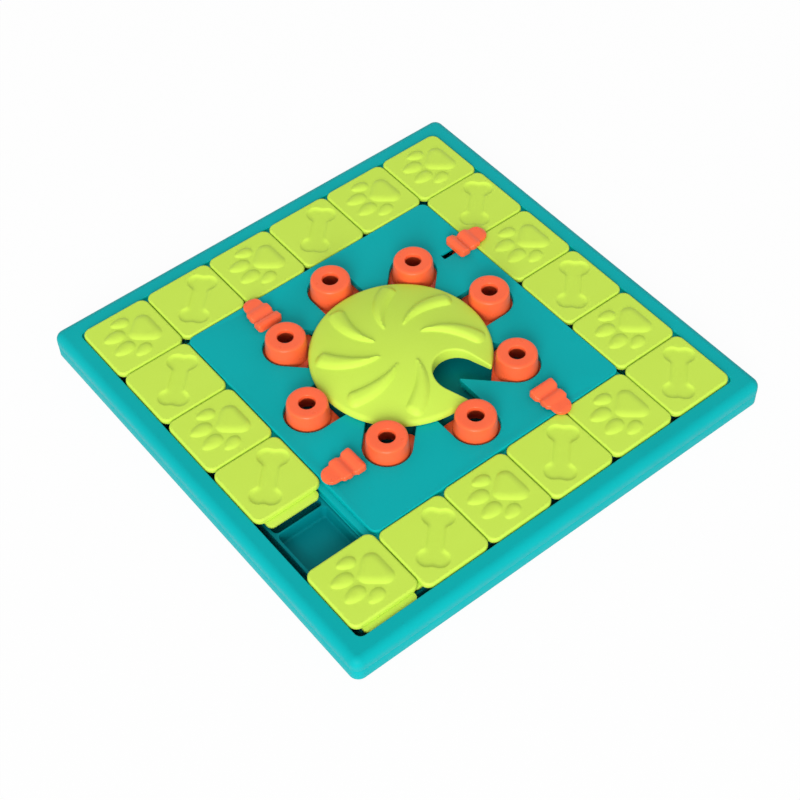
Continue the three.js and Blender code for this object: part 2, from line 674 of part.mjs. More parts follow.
// Star tray
function starTray() {
  const step = (2 * Math.PI) / ARMS;
  const outer = star(BED_HALF + BED_WALL, PEG_RING + BED_SIDE_GAP);
  const inner = star(BED_HALF, PEG_RING + BED_SIDE_GAP);
  const shell = cut(
    prism(outer, BED_UNDER, BED_WALL_TOP, CORNER_STEPS),
    prism(inner, BED_TOP, BED_WALL_TOP + OVERRUN, CORNER_STEPS),
  );
  const cups = [];
  const hollows = [];
  for (let arm = 0; arm < ARMS; arm += 1) {
    const [x, y] = [PEG_RING * Math.cos(arm * step), PEG_RING * Math.sin(arm * step)];
    const wall = TREAT_CUP_RADIUS + TREAT_CUP_SHEET;
    const cupFloor = WELL_UNDER + TREAT_CUP_SHEET;
    cups.push(post(wall, WELL_UNDER, BED_TOP, x, y, CUP_STEPS));
    hollows.push(post(TREAT_CUP_RADIUS, cupFloor, BED_TOP + OVERRUN, x, y, CUP_STEPS));
  }
  // The socket's flats stay clear of the hub's corners as it turns
  const socketInner = (HUB_RADIUS + CLEARANCE) / Math.cos(Math.PI / ROUND_STEPS);
  const socketOuter = socketInner + HUB_SOCKET_WALL;
  const socketTop = BED_TOP + HUB_SOCKET_HEIGHT;
  const socket = cut(
    post(socketOuter, BED_TOP - BED_SHEET / 2, socketTop, 0, 0, ROUND_STEPS),
    post(socketInner, BED_TOP, socketTop + OVERRUN, 0, 0, ROUND_STEPS),
  );
  const axleHole = post(AXLE_RADIUS + CLEARANCE, BED_UNDER - OVERRUN, BED_TOP + OVERRUN);
  return cut(join(shell, socket, ...cups), ...hollows, axleHole);
}

// Wheel
function domeHeight(radius) {
  return WHEEL_EDGE_TOP + WHEEL_CROWN * (1 - (radius / WHEEL_RADIUS) ** 2);
}

// Dome raised by rise, down to the wheel's underside
function dome(rise) {
  const pairs = [[0, WHEEL_UNDER], [WHEEL_RADIUS, WHEEL_UNDER]];
  const shoulder = WHEEL_RADIUS - WHEEL_ROUND;
  const edge = domeHeight(shoulder) + rise;
  const diagonal = WHEEL_ROUND * (1 - Math.SQRT1_2);
  pairs.push([WHEEL_RADIUS, edge - WHEEL_ROUND]);
  pairs.push([WHEEL_RADIUS - diagonal, edge - diagonal]);
  for (let i = DOME_STEPS; i > 0; i -= 1) {
    const radius = (shoulder * i) / DOME_STEPS;
    pairs.push([radius, domeHeight(radius) + rise]);
  }
  pairs.push([0, WHEEL_TOP + rise]);
  return turned(pairs, WHEEL_STEPS);
}

// Outline of one swept rib: pointed inside, wide and round outside
function ribOutline() {
  const left = [];
  const right = [];
  for (let i = 0; i <= RIB_STEPS; i += 1) {
    const share = i / RIB_STEPS;
    const radius = RIB_INNER + (RIB_OUTER - RIB_INNER) * share;
    const angle = -RIB_SWEEP * share;
    const half = RIB_TIP_HALF + (RIB_HALF - RIB_TIP_HALF) * Math.sin((share * Math.PI) / 2);
    const spread = half / radius;
    left.push(new THREE.Vector2(
      radius * Math.cos(angle + spread),
      radius * Math.sin(angle + spread),
    ));
    right.unshift(new THREE.Vector2(
      radius * Math.cos(angle - spread),
      radius * Math.sin(angle - spread),
    ));
  }
  const crest = RIB_OUTER + RIB_HALF / 2;
  const spread = RIB_HALF / 2 / crest;
  const ends = [spread, -spread].map((turn) => new THREE.Vector2(
    crest * Math.cos(turn - RIB_SWEEP),
    crest * Math.sin(turn - RIB_SWEEP),
  ));
  return new THREE.Shape([...left, ...ends, ...right].reverse());
}

function notchOutline() {
  const shape = new THREE.Shape();
  const mouth = WHEEL_RADIUS + OVERRUN;
  shape.moveTo(mouth, NOTCH_MOUTH_HALF);
  shape.lineTo(NOTCH_CENTRE, NOTCH_HALF);
  shape.absarc(NOTCH_CENTRE, 0, NOTCH_HALF, Math.PI / 2, (3 * Math.PI) / 2);
  shape.lineTo(mouth, -NOTCH_MOUTH_HALF);
  shape.closePath();
  return shape;
}

function wheel() {
  const step = (2 * Math.PI) / ARMS;
  const high = WHEEL_TOP + RIB_HEIGHT + OVERRUN;
  const rib = prism(ribOutline(), WHEEL_UNDER + OVERRUN, high).intersect(dome(RIB_HEIGHT));
  const turns = [];
  for (let arm = 0; arm < ARMS; arm += 1) {
    if (arm !== 1) turns.push(arm * step);
  }
  const hub = post(HUB_RADIUS, BED_TOP + CLEARANCE, WHEEL_UNDER + OVERRUN, 0, 0, ROUND_STEPS);
  const notch = prism(notchOutline(), WHEEL_UNDER - OVERRUN, high, 2 * ARC_STEPS);
  const [opening] = around(notch, [step / 2]);
  const tip = BED_UNDER - WASHER_THICKNESS + AXLE_LENGTH;
  const pilot = post(AXLE_RADIUS + CLEARANCE, BED_TOP - OVERRUN, tip + CLEARANCE);
  return cut(join(dome(0), hub, ...around(rib, turns)), opening, pilot);
}

function axleScrew() {
  const seat = BED_UNDER - CLEARANCE - WASHER_THICKNESS - CLEARANCE;
  const tip = BED_UNDER - WASHER_THICKNESS + AXLE_LENGTH;
  return join(
    post(AXLE_HEAD_RADIUS, seat - AXLE_HEAD_HEIGHT, seat),
    post(AXLE_RADIUS, seat - AXLE_HEAD_HEIGHT / 2, tip),
  );
}

function axleWasher() {
  const high = BED_UNDER - CLEARANCE;
  const low = high - WASHER_THICKNESS;
  return cut(
    post(WASHER_RADIUS, low, high),
    post(AXLE_RADIUS + CLEARANCE, low - OVERRUN, high + OVERRUN),
  );
}

// Peg, standing at the origin with its foot's inner end towards -X
function peg() {
  const top = DECK_TOP + PEG_PROUD;
  const diagonal = PEG_ROUND * (1 - Math.SQRT1_2);
  const body = turned([
    [0, PEG_UNDER],
    [PEG_RADIUS, PEG_UNDER],
    [PEG_RADIUS, PEG_FOOT_TOP],
    [PEG_TOP_RADIUS, top - PEG_ROUND],
    [PEG_TOP_RADIUS - diagonal, top - diagonal],
    [PEG_TOP_RADIUS - PEG_ROUND, top],
    [0, top],
  ]);
  const foot = new THREE.Shape();
  const half = PEG_FOOT_HALF;
  const corner = PEG_FOOT_CORNER;
  const inner = -PEG_FOOT_INNER;
  foot.absarc(0, 0, half, -Math.PI / 2, Math.PI / 2);
  foot.absarc(inner + corner, half - corner, corner, Math.PI / 2, Math.PI);
  foot.absarc(inner + corner, corner - half, corner, Math.PI, (3 * Math.PI) / 2);
  foot.closePath();
  const hole = post(PEG_HOLE_RADIUS, PEG_UNDER - OVERRUN, top + OVERRUN);
  return cut(join(body, prism(foot, PEG_UNDER, PEG_FOOT_TOP, CORNER_STEPS)), hole);
}

// Locker, along +X from its inner end at the origin
function lockerOutline() {
  const nose = LOCKER_LENGTH - LOCKER_NOSE_HALF;
  const waist = LOCKER_LENGTH * LOCKER_WAIST_SHARE;
  const second = LOCKER_LENGTH * LOCKER_SECOND_SHARE;
  const shape = new THREE.Shape();
  const tail = LOCKER_TAIL_HALF;
  const shoulder = LOCKER_SECOND_HALF;
  const corner = LOCKER_CORNER;
  const turn = THREE.MathUtils.degToRad(60);
  shape.absarc(corner, corner - tail, corner, Math.PI, (3 * Math.PI) / 2 + turn / 2);
  shape.lineTo(waist, -LOCKER_WAIST_HALF);
  shape.absarc(second, corner - shoulder, corner, -Math.PI / 2 - turn / 2, -Math.PI / 2 + turn);
  shape.absarc(nose, 0, LOCKER_NOSE_HALF, -Math.PI / 2, Math.PI / 2);
  shape.absarc(second, shoulder - corner, corner, Math.PI / 2 - turn, Math.PI / 2 + turn / 2);
  shape.lineTo(waist, LOCKER_WAIST_HALF);
  shape.absarc(corner, tail - corner, corner, Math.PI / 2 - turn / 2, Math.PI);
  shape.closePath();
  return shape;
}

// Side view of the locker: two thumb ridges and a thin nose that clears the tiles
function lockerProfile() {
  const low = LOCKER_UNDER - DECK_TOP;
  const noseLow = TILE_TOP + LOCKER_NOSE_PLAY - DECK_TOP;
  const length = LOCKER_LENGTH;
  const [crestStart, crestEnd] = LOCKER_CREST_SHARES;
  const shape = new THREE.Shape();
  shape.moveTo(-OVERRUN, low);
  shape.lineTo(NOSE_START, low);
  shape.lineTo(NOSE_START, noseLow);
  shape.lineTo(length + OVERRUN, noseLow);
  shape.lineTo(length, LOCKER_NOSE_HEIGHT - LOCKER_NOSE_DROP);
  shape.lineTo(length - LOCKER_NOSE_SLOPE, LOCKER_NOSE_HEIGHT);
  shape.lineTo(length - LOCKER_NOSE_HALF, LOCKER_NOSE_HEIGHT);
  shape.lineTo(length * LOCKER_SECOND_SHARE, LOCKER_SECOND_RIDGE);
  shape.lineTo(length * LOCKER_WAIST_SHARE, LOCKER_VALLEY);
  shape.lineTo(length * crestEnd, LOCKER_RIDGE);
  shape.lineTo(length * crestStart, LOCKER_RIDGE);
  shape.lineTo(-OVERRUN, LOCKER_VALLEY);
  shape.closePath();
  return shape;
}

function lockerKey() {
  const shape = new THREE.Shape();
  shape.moveTo(NOSE_START - OVERRUN, -KEY_HALF);
  shape.lineTo(NOSE_START, -KEY_HALF);
  shape.lineTo(NOSE_START + KEY_LENGTH, -KEY_TIP_HALF);
  shape.lineTo(NOSE_START + KEY_LENGTH, KEY_TIP_HALF);
  shape.lineTo(NOSE_START, KEY_HALF);
  shape.lineTo(NOSE_START - OVERRUN, KEY_HALF);
  shape.closePath();
  return prism(shape, LOCKER_UNDER, DECK_TOP + LOCKER_NOSE_HEIGHT - LOCKER_NOSE_DROP);
}

function locker() {
  const width = 2 * (LOCKER_TAIL_HALF + OVERRUN);
  const side = new THREE.ExtrudeGeometry(lockerProfile(), {
    depth: width,
    bevelEnabled: false,
  });
  side.rotateX(Math.PI / 2);
  side.translate(0, width / 2, DECK_TOP);
  const high = DECK_TOP + LOCKER_RIDGE + OVERRUN;
  const tall = prism(lockerOutline(), DECK_TOP - OVERRUN, high, CORNER_STEPS);
  const neckEnd = NECK_START + NECK_LENGTH;
  const neck = plainBox(NECK_START, -NECK_HALF, neckEnd, NECK_HALF);
  const stud = plainBox(
    NECK_START + STUD_STEP, STUD_STEP - NECK_HALF, neckEnd - STUD_STEP, NECK_HALF - STUD_STEP,
  );
  return join(
    tall.intersect(toSolid(side)),
    lockerKey(),
    prism(neck, KEEPER_TOP + CLEARANCE, LOCKER_UNDER + CLEARANCE),
    prism(stud, KEEPER_UNDER, KEEPER_TOP + 2 * CLEARANCE),
  );
}

function lockerKeeper() {
  const neckEnd = NECK_START + NECK_LENGTH;
  const margin = KEEPER_MARGIN;
  const plate = plainBox(
    NECK_START - margin, -NECK_HALF - margin, neckEnd + margin, NECK_HALF + margin,
  );
  const inset = STUD_STEP - CLEARANCE;
  const hole = plainBox(NECK_START + inset, inset - NECK_HALF, neckEnd - inset, NECK_HALF - inset);
  return cut(
    prism(plate, KEEPER_UNDER, KEEPER_TOP),
    prism(hole, KEEPER_UNDER - OVERRUN, KEEPER_TOP + OVERRUN),
  );
}

// Small parts
function caseScrew() {
  return join(
    post(SCREW_HEAD_RADIUS, CASE_UNDER + SCREW_HEAD_RECESS, SCREW_SEAT),
    post(SCREW_RADIUS, SCREW_SEAT - SCREW_HEAD_HEIGHT / 2, SCREW_SEAT + SCREW_LENGTH),
  );
}

function rubberFoot() {
  const high = FLOOR_TOP + CLEARANCE;
  const barb = FOOT_STEM_RADIUS + FOOT_BARB;
  const collar = FOOT_PROUD - CLEARANCE;
  return turned([
    [0, 0],
    [FOOT_RADIUS - collar / 2, 0],
    [FOOT_RADIUS, collar / 2],
    [FOOT_RADIUS, collar],
    [FOOT_STEM_RADIUS, collar],
    [FOOT_STEM_RADIUS, high],
    [barb, high],
    [FOOT_STEM_RADIUS - FOOT_BARB, high + FOOT_BARB_HEIGHT],
    [0, high + FOOT_BARB_HEIGHT],
  ], SMALL_STEPS);
}

// Assembly
const board = new THREE.Group();

function place(name, geometry, material, x = 0, y = 0, turn = 0) {
  const mesh = new THREE.Mesh(geometry, material);
  mesh.name = name;
  mesh.position.set(x, y, 0);
  mesh.rotation.z = turn;
  board.add(mesh);
}

function placeCase() {
  place('bottom_tray', toGeometry(bottomTray()), TEAL);
  place('top_frame', toGeometry(topFrame()), TEAL);
  place('deck_plate', toGeometry(deckPlate()), TEAL);
  const long = toGeometry(wellTray(0, LONG_CUP_COUNT));
  const short = toGeometry(wellTray(LONG_CUP_COUNT, CUPS_PER_STRIP));
  QUARTERS.forEach((turn, i) => {
    place(`well_tray_${i + 1}`, long, DARK_TEAL, 0, 0, turn);
    place(`well_pair_${i + 1}`, short, DARK_TEAL, 0, 0, turn);
  });
  place('star_tray', toGeometry(starTray()), DARK_TEAL);
  const foot = toGeometry(rubberFoot());
  footPlaces().forEach(([x, y], i) => place(`foot_${i + 1}`, foot, RUBBER, x, y));
  const screw = toGeometry(caseScrew());
  const { rim, deck } = screwPlaces();
  rim.forEach(([x, y], i) => place(`rim_screw_${i + 1}`, screw, STEEL, x, y));
  deck.forEach(([x, y], i) => place(`deck_screw_${i + 1}`, screw, STEEL, x, y));
}

function placeWheel() {
  place('wheel', toGeometry(wheel()), LIME);
  place('axle_screw', toGeometry(axleScrew()), STEEL);
  place('axle_washer', toGeometry(axleWasher()), STEEL);
}

function placePegs() {
  const geometry = toGeometry(peg());
  for (let arm = 0; arm < ARMS; arm += 1) {
    const turn = (2 * Math.PI * arm) / ARMS;
    const [x, y] = [PEG_RING * Math.cos(turn), PEG_RING * Math.sin(turn)];
    place(`peg_${arm + 1}`, geometry, ORANGE, x, y, turn);
  }
}

// Each locker's push towards the tiles, as a share of its travel: right, back, left, front
const LOCKER_PUSH_SHARES = [0.375, 1, 0, 0];

function placeLockers() {
  const body = toGeometry(locker());
  const keeper = toGeometry(lockerKeeper());
  QUARTERS.forEach((turn, i) => {
    const reach = LOCKER_HOME + LOCKER_PUSH_SHARES[i] * LOCKER_TRAVEL;
    const [cos, sin] = SIDE_AXES[i];
    const x = reach * cos - LOCKER_SIDE * sin;
    const y = reach * sin + LOCKER_SIDE * cos;
    place(`locker_${i + 1}`, body, ORANGE, x, y, turn);
    place(`locker_keeper_${i + 1}`, keeper, ORANGE, x, y, turn);
  });
}

// Tile places run round the board from the front left corner; the fifth is free
const FREE_INDEX = 4;
const BONE_INDICES = new Set([1, 3, 6, 8, 10, 12, 14, 17, 19]);

function trackPlaces() {
  const places = [];
  SIDE_AXES.forEach(([cos, sin]) => {
    for (let i = 0; i < PLACE_COUNT - 1; i += 1) {
      const along = i * PITCH - TRACK_MIDDLE;
      places.push([along * cos + TRACK_MIDDLE * sin, along * sin - TRACK_MIDDLE * cos]);
    }
  });
  return places;
}

function placeTiles() {
  const paw = toGeometry(pawTile());
  const bone = toGeometry(boneTile());
  trackPlaces().forEach(([x, y], i) => {
    if (i === FREE_INDEX) return;
    const back = i === FREE_INDEX + 1 ? SHIFTED_TILE : 0;
    const kind = BONE_INDICES.has(i) ? 'bone' : 'paw';
    place(`tile_${kind}_${i + 1}`, kind === 'bone' ? bone : paw, LIME, x - back, y);
  });
}

placeCase();
placeWheel();
placePegs();
placeLockers();
placeTiles();

export default board;
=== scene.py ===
import math

import bmesh
import bpy
import numpy as np
from mathutils import Matrix, Vector
from mathutils.geometry import delaunay_2d_cdt


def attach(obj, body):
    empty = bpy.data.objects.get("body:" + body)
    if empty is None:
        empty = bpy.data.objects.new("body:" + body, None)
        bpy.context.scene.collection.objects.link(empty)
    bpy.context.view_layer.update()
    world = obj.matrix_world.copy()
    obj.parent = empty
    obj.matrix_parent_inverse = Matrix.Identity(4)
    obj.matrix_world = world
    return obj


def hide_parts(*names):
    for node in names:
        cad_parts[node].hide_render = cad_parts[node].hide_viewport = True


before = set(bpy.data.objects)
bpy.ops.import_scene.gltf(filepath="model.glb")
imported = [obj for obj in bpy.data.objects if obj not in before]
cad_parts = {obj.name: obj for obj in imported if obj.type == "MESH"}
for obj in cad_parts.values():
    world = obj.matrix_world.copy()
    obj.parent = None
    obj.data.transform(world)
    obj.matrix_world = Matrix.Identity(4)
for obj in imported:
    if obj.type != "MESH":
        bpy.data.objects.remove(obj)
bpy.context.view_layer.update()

# Lengths are millimetres until a mesh is made
MM = 0.001
CIRCLE = 2 * math.pi
QUARTER = CIRCLE / 4
EIGHTH = CIRCLE / 8

# Levels, from the floor up
CASE_UNDER = 1.4
FLOOR_TOP = 3.4
WELL_UNDER = 3.7
SCREW_SEAT = 4.2
CUP_FLOOR = 5.3
HEAD_CUP_TOP = 6.1
POST_UNDER = 6.4
TRAY_TOP = 12.7
PARTING = 13.0
BED_UNDER = 14.0
BED_TOP = 16.0
PEG_UNDER = 16.3
POST_HOLE_TOP = 17.5
WELL_TOP = 17.7
TILE_UNDER = 18.0
TONGUE_UNDER = 20.1
PEG_FOOT_TOP = 20.5
BED_WALL_TOP = 20.6
SKIRT_UNDER = 20.9
HUB_WALL_TOP = 21.5
TONGUE_TOP = 22.9
SHEET_UNDER = 23.2
DECK_UNDER = 25.1
RIM_TOP = 25.5
DECK_TOP = 27.4
LOCKER_UNDER = 27.7
TILE_TOP = 27.8
WHEEL_UNDER = 28.1
NOSE_UNDER = 28.8
WHEEL_EDGE_TOP = 32.9
PEG_TOP = 41.3

# Plan
BOARD_HALF = 209.6
CASE_CORNER = 8.5
CASE_WALL = 3.0
CASE_STEP = 0.2
RIM_ROUNDING = 7.0
OPENING_HALF = 192.4
OPENING_CORNER = 5.5
DECK_HALF = 127.7
DECK_CORNER = 7.0
WELL_OUTSIDE = 185.5
WELL_INSIDE = 134.5
STRIP_END = 134.2
TILE_HALF = 31.55
TILE_CORNER = 7.5
PLACE = 64.0
TRACK = 160.0
PEG_RING = 95.8
SLOT_HALF, SLOT_END = 20.5, 95.4
BED_HALF, BED_END = 24.6, 96.5
PEG_CUP = 14.0
LOCKER_SIDE = 64.0
NECK_SLOT = (97.4, 61.1, 121.2, 66.9)
CORNERS = ((1, 1), (-1, 1), (-1, -1), (1, -1))
RIM_SCREWS = [(sx * 198.1, sy * 198.1) for sx, sy in CORNERS]
DECK_SCREWS = [(111.9, 111.9), (-111.9, -111.9)]
FEET = [(sx * 195.0, sy * 176.6) for sx, sy in CORNERS]

# Small sizes that repeat
CHAMFER = 0.3
POST_RADIUS = 4.3
SCREW_HOLE = 1.7
FOOT_HOLE = 4.3
AXLE_HOLE = 2.3
THREAD_PITCH = 1.3


# Outlines: all run counter-clockwise
def bend(before, corner, after, radius, steps=None, step=0.9):
    """Points of a rounded corner, in a number of steps or in steps of a length."""
    back, ahead = before - corner, after - corner
    back /= np.linalg.norm(back)
    ahead /= np.linalg.norm(ahead)
    half = math.acos(np.clip(back @ ahead, -1, 1)) / 2
    reach = radius / math.tan(half)
    middle = back + ahead
    centre = corner + middle / np.linalg.norm(middle) * radius / math.sin(half)
    first = corner + back * reach - centre
    last = corner + ahead * reach - centre
    start = math.atan2(first[1], first[0])
    turn = (math.atan2(last[1], last[0]) - start + math.pi) % CIRCLE - math.pi
    steps = steps or max(3, math.ceil(abs(turn) * radius / step))
    angles = [start + turn * k / steps for k in range(steps + 1)]
    return [centre + radius * np.array([math.cos(a), math.sin(a)]) for a in angles]


def fillet(corners, radii, step=0.9):
    """Closed outline whose corners are rounded, each by its own radius."""
    corners = [np.array(c, float) for c in corners]
    if np.isscalar(radii):
        radii = [radii] * len(corners)
    points = []
    for i, (corner, radius) in enumerate(zip(corners, radii)):
        if radius > 0:
            after = corners[(i + 1) % len(corners)]
            points += bend(corners[i - 1], corner, after, radius, step=step)
        else:
            points.append(corner)
    return np.array(points)


def box_outline(left, bottom, right, top, radius, step=0.9):
    return fillet([(left, bottom), (right, bottom), (right, top), (left, top)], radius, step)


def square(half, radius, step=0.9):
    return box_outline(-half, -half, half, half, radius, step)


def circle(radius, count=32, x=0.0, y=0.0):
    angles = np.arange(count) * CIRCLE / count
    return np.stack([x + radius * np.cos(angles), y + radius * np.sin(angles)], 1)


def turned(points, angle):
    cos, sin = math.cos(angle), math.sin(angle)
    return points @ np.array([[cos, sin], [-sin, cos]])


def spot(x, y, angle):
    """One point turned round the middle of the board."""
    return turned(np.array([[x, y]]), angle)[0]


def outward(loop):
    """Way out at each point, as long as moves both its sides by one."""
    ahead = np.roll(loop, -1, 0) - loop
    ahead /= np.linalg.norm(ahead, axis=1)[:, None]
    after = np.stack([ahead[:, 1], -ahead[:, 0]], 1)
    before = np.roll(after, 1, 0)
    return (after + before) / (1 + np.sum(after * before, 1))[:, None]


def inset(loop, depth):
    """The loop moved inwards by depth, one number or one for each point."""
    return loop - outward(loop) * np.broadcast_to(depth, len(loop))[:, None]


def smooth(loop, spacing, rounds):
    """The loop with even spacing and its corners relaxed."""
    closed = np.vstack([loop, loop[:1]])
    sides = np.linalg.norm(np.diff(closed, axis=0), axis=1)
    along = np.concatenate([[0], np.cumsum(sides)])
    count = max(12, round(along[-1] / spacing))
    places = np.arange(count) * along[-1] / count
    loop = np.stack([np.interp(places, along, closed[:, k]) for k in (0, 1)], 1)
    for _ in range(rounds):
        loop = (np.roll(loop, 1, 0) + 2 * loop + np.roll(loop, -1, 0)) / 4
    return loop


def crossings(points, loop):
    """How often a line from each point towards +X crosses the loop: odd inside it."""
    a, b = loop, np.roll(loop, -1, 0)
    rise = np.where(b[:, 1] == a[:, 1], 1e-9, b[:, 1] - a[:, 1])
    level = points[:, 1, None]
    x = a[:, 0] + (level - a[:, 1]) * (b[:, 0] - a[:, 0]) / rise
    return (((a[:, 1] > level) != (b[:, 1] > level)) & (points[:, 0, None] < x)).sum(1)


def depth_in(points, loop):
    """Distance from each point to the loop, above zero inside it."""
    pairs_at_once = 400000
    a, side = loop, np.roll(loop, -1, 0) - loop
    found = []
    for some in np.array_split(points, len(points) * len(loop) // pairs_at_once + 1):
        away = some[:, None] - a
        share = np.clip((away * side).sum(-1) / (side * side).sum(-1), 0, 1)
        distance = np.sqrt(((away - share[..., None] * side) ** 2).sum(-1)).min(1)
        found.append(np.where(crossings(some, loop) % 2 == 1, distance, -distance))
    return np.concatenate(found)


def grid(loop, spacing, margin, keep=None):
    """Points in a honeycomb inside the loop, no closer to it than margin."""
    row_height = 0.866
    low, high = loop.min(0), loop.max(0)
    rows = []
    for i, y in enumerate(np.arange(low[1], high[1], spacing * row_height)):
        x = np.arange(low[0] + (i % 2) * spacing / 2, high[0], spacing)
        rows.append(np.stack([x, np.full(len(x), y)], 1))
    points = np.concatenate(rows)
    points = points[depth_in(points, loop) > margin]
    return points if keep is None else points[keep(points)]


def quarter_turn(radius, steps):
    """Inset and drop along a rounded edge, from the side wall to the top."""
    angles = np.linspace(0, QUARTER, steps + 1)
    return [(radius * (1 - math.cos(a)), radius * (1 - math.sin(a))) for a in angles]


def eased(loop, level, radius, steps, inward=1, below=1, start=0.0):
    """Rings round an edge from its wall to the face at level.

    The wall is below the face or, with -1, above it. The face lies inwards of the
    loop or, with -1, round it, as at a hole.
    """
    return [(inset(loop, start + inward * i), level - below * d)
            for i, d in quarter_turn(radius, steps)]


# Meshes
class Shell:
    """A closed surface that is built from rings and filled faces."""

    def __init__(self):
        self.points, self.faces = [], []

    def ring(self, loop, height):
        first = len(self.points)
        heights = np.broadcast_to(height, len(loop))
        self.points += [(x, y, z) for (x, y), z in zip(loop, heights)]
        return list(range(first, len(self.points)))

    def bridge(self, low, high):
        for i in range(len(low)):
            j = (i + 1) % len(low)
            self.faces.append((low[i], low[j], high[j], high[i]))

    def walk(self, *rings):
        """Rings of the same outline joined in their order; returns the first and the last."""
        made = [self.ring(loop, height) for loop, height in rings]
        for low, high in zip(made, made[1:]):
            self.bridge(low, high)
        return made[0], made[-1]

    def spin(self, count, *profile):
        """The same for round rings, each given by its radius and height."""
        return self.walk(*[(circle(radius, count), height) for radius, height in profile])

    def cap(self, outer, holes=(), lines=(), seams=(), filler=None, height=0.0):
        """Face between a ring and its holes.

        It also runs through closed lines, open seams and loose filler points, which
        lie at the height, one number or a function of the points.
        """
        plan, source, edges = [], [], []

        def take(ids, joined):
            first, count = len(plan), len(ids)
            plan.extend(self.points[i][:2] for i in ids)
            source.extend(ids)
            edges.extend((first + i, first + (i + 1) % count) for i in range(joined))

        def level(points):
            return height(np.asarray(points, float)) if callable(height) else height

        for ring in (outer, *holes):
            take(ring, len(ring))
        for line in lines:
            take(self.ring(line, level(line)), len(line))
        for seam in seams:
            take(self.ring(seam, level(seam)), len(seam) - 1)
        if filler is not None:
            take(self.ring(filler, level(filler)), 0)
        found = delaunay_2d_cdt([Vector(p) for p in plan], edges, [], 1, 1e-5)
        places = np.array([tuple(p) for p in found[0]])
        names = []
        for place, origin in zip(places, found[3]):
            names.append(source[min(origin)] if origin else self.ring([place], level([place]))[0])
        triangles = np.array(found[2])
        middles = places[triangles].mean(1)
        count = sum(
            crossings(middles, np.array([self.points[i][:2] for i in ring]))
            for ring in (outer, *holes))
        for triangle in triangles[count % 2 == 1]:
            self.faces.append(tuple(names[i] for i in triangle))

    def add(self, other):
        first = len(self.points)
        self.points += other.points
        self.faces += [tuple(i + first for i in face) for face in other.faces]

    def mesh(self, name, material):
        sharp_from = math.radians(38)
        work = bmesh.new()
        verts = [work.verts.new((x * MM, y * MM, z * MM)) for x, y, z in self.points]
        for face in self.faces:
            if len(set(face)) > 2:
                work.faces.new([verts[i] for i in face])
        loose = [v for v in work.verts if not v.link_faces]
        bmesh.ops.delete(work, geom=loose, context="VERTS")
        bmesh.ops.recalc_face_normals(work, faces=work.faces[:])
        mesh = bpy.data.meshes.new(name)
        work.to_mesh(mesh)
        work.free()
        mesh.materials.append(material)
        mesh.shade_smooth()
        mesh.set_sharp_from_angle(angle=sharp_from)
        return mesh


def prism(loop, low, high, edge, steps):
    """Closed plate with rounded edges."""
    shell = Shell()
    bottom, top = shell.walk(*eased(loop, low, edge, steps, below=-1)[::-1],
                             *eased(loop, high, edge, steps))
    shell.cap(bottom)
    shell.cap(top)
    return shell


def screw_post(x, y, high):
    """Post with a blind hole from below."""
    shell = Shell()
    outer, inner = circle(POST_RADIUS, 32, x, y), circle(SCREW_HOLE, 32, x, y)
    top, foot = shell.walk((outer, high), (outer, POST_UNDER + CHAMFER),
                           (inset(outer, CHAMFER), POST_UNDER),
                           (inner, POST_UNDER), (inner, POST_HOLE_TOP))
    shell.cap(top)
    shell.cap(foot)
    return shell


def linked(name, data):
    made = bpy.data.objects.new(name, data)
    bpy.context.scene.collection.objects.link(made)
    return made


def piece(name, mesh, body, nodes, x=0.0, y=0.0, turn=0.0):
    made = linked(name, mesh)
    place = Matrix.Translation((x * MM, y * MM, 0))
    made.matrix_world = place @ Matrix.Rotation(turn, 4, "Z")
    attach(made, body)
    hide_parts(*nodes)


def single(name, shell, material, body, node):
    """Piece in the middle of the board, with a mesh of its own."""
    piece(name, shell.mesh(name, material), body, [node])


# Materials: scales are cells in a metre, depths are metres
MOTTLE_SCALE, SPECK_SCALE = 14.0, 900.0
STREAK_SCALE, CLOUD_SCALE = 70.0, 45.0
SINK_SCALE, SINK_DEPTH = 38.0, 0.0008
GRAIN_SCALE, GRAIN_DEPTH = 2600.0, 0.0001
PLASTIC_IOR = 1.42


def linear(red, green, blue):
    """Linear colour of a screen colour that counts to 255."""
    def one(value):
        value /= 255
        return value / 12.92 if value <= 0.04045 else ((value + 0.055) / 1.055) ** 2.4
    return (one(red), one(green), one(blue), 1)


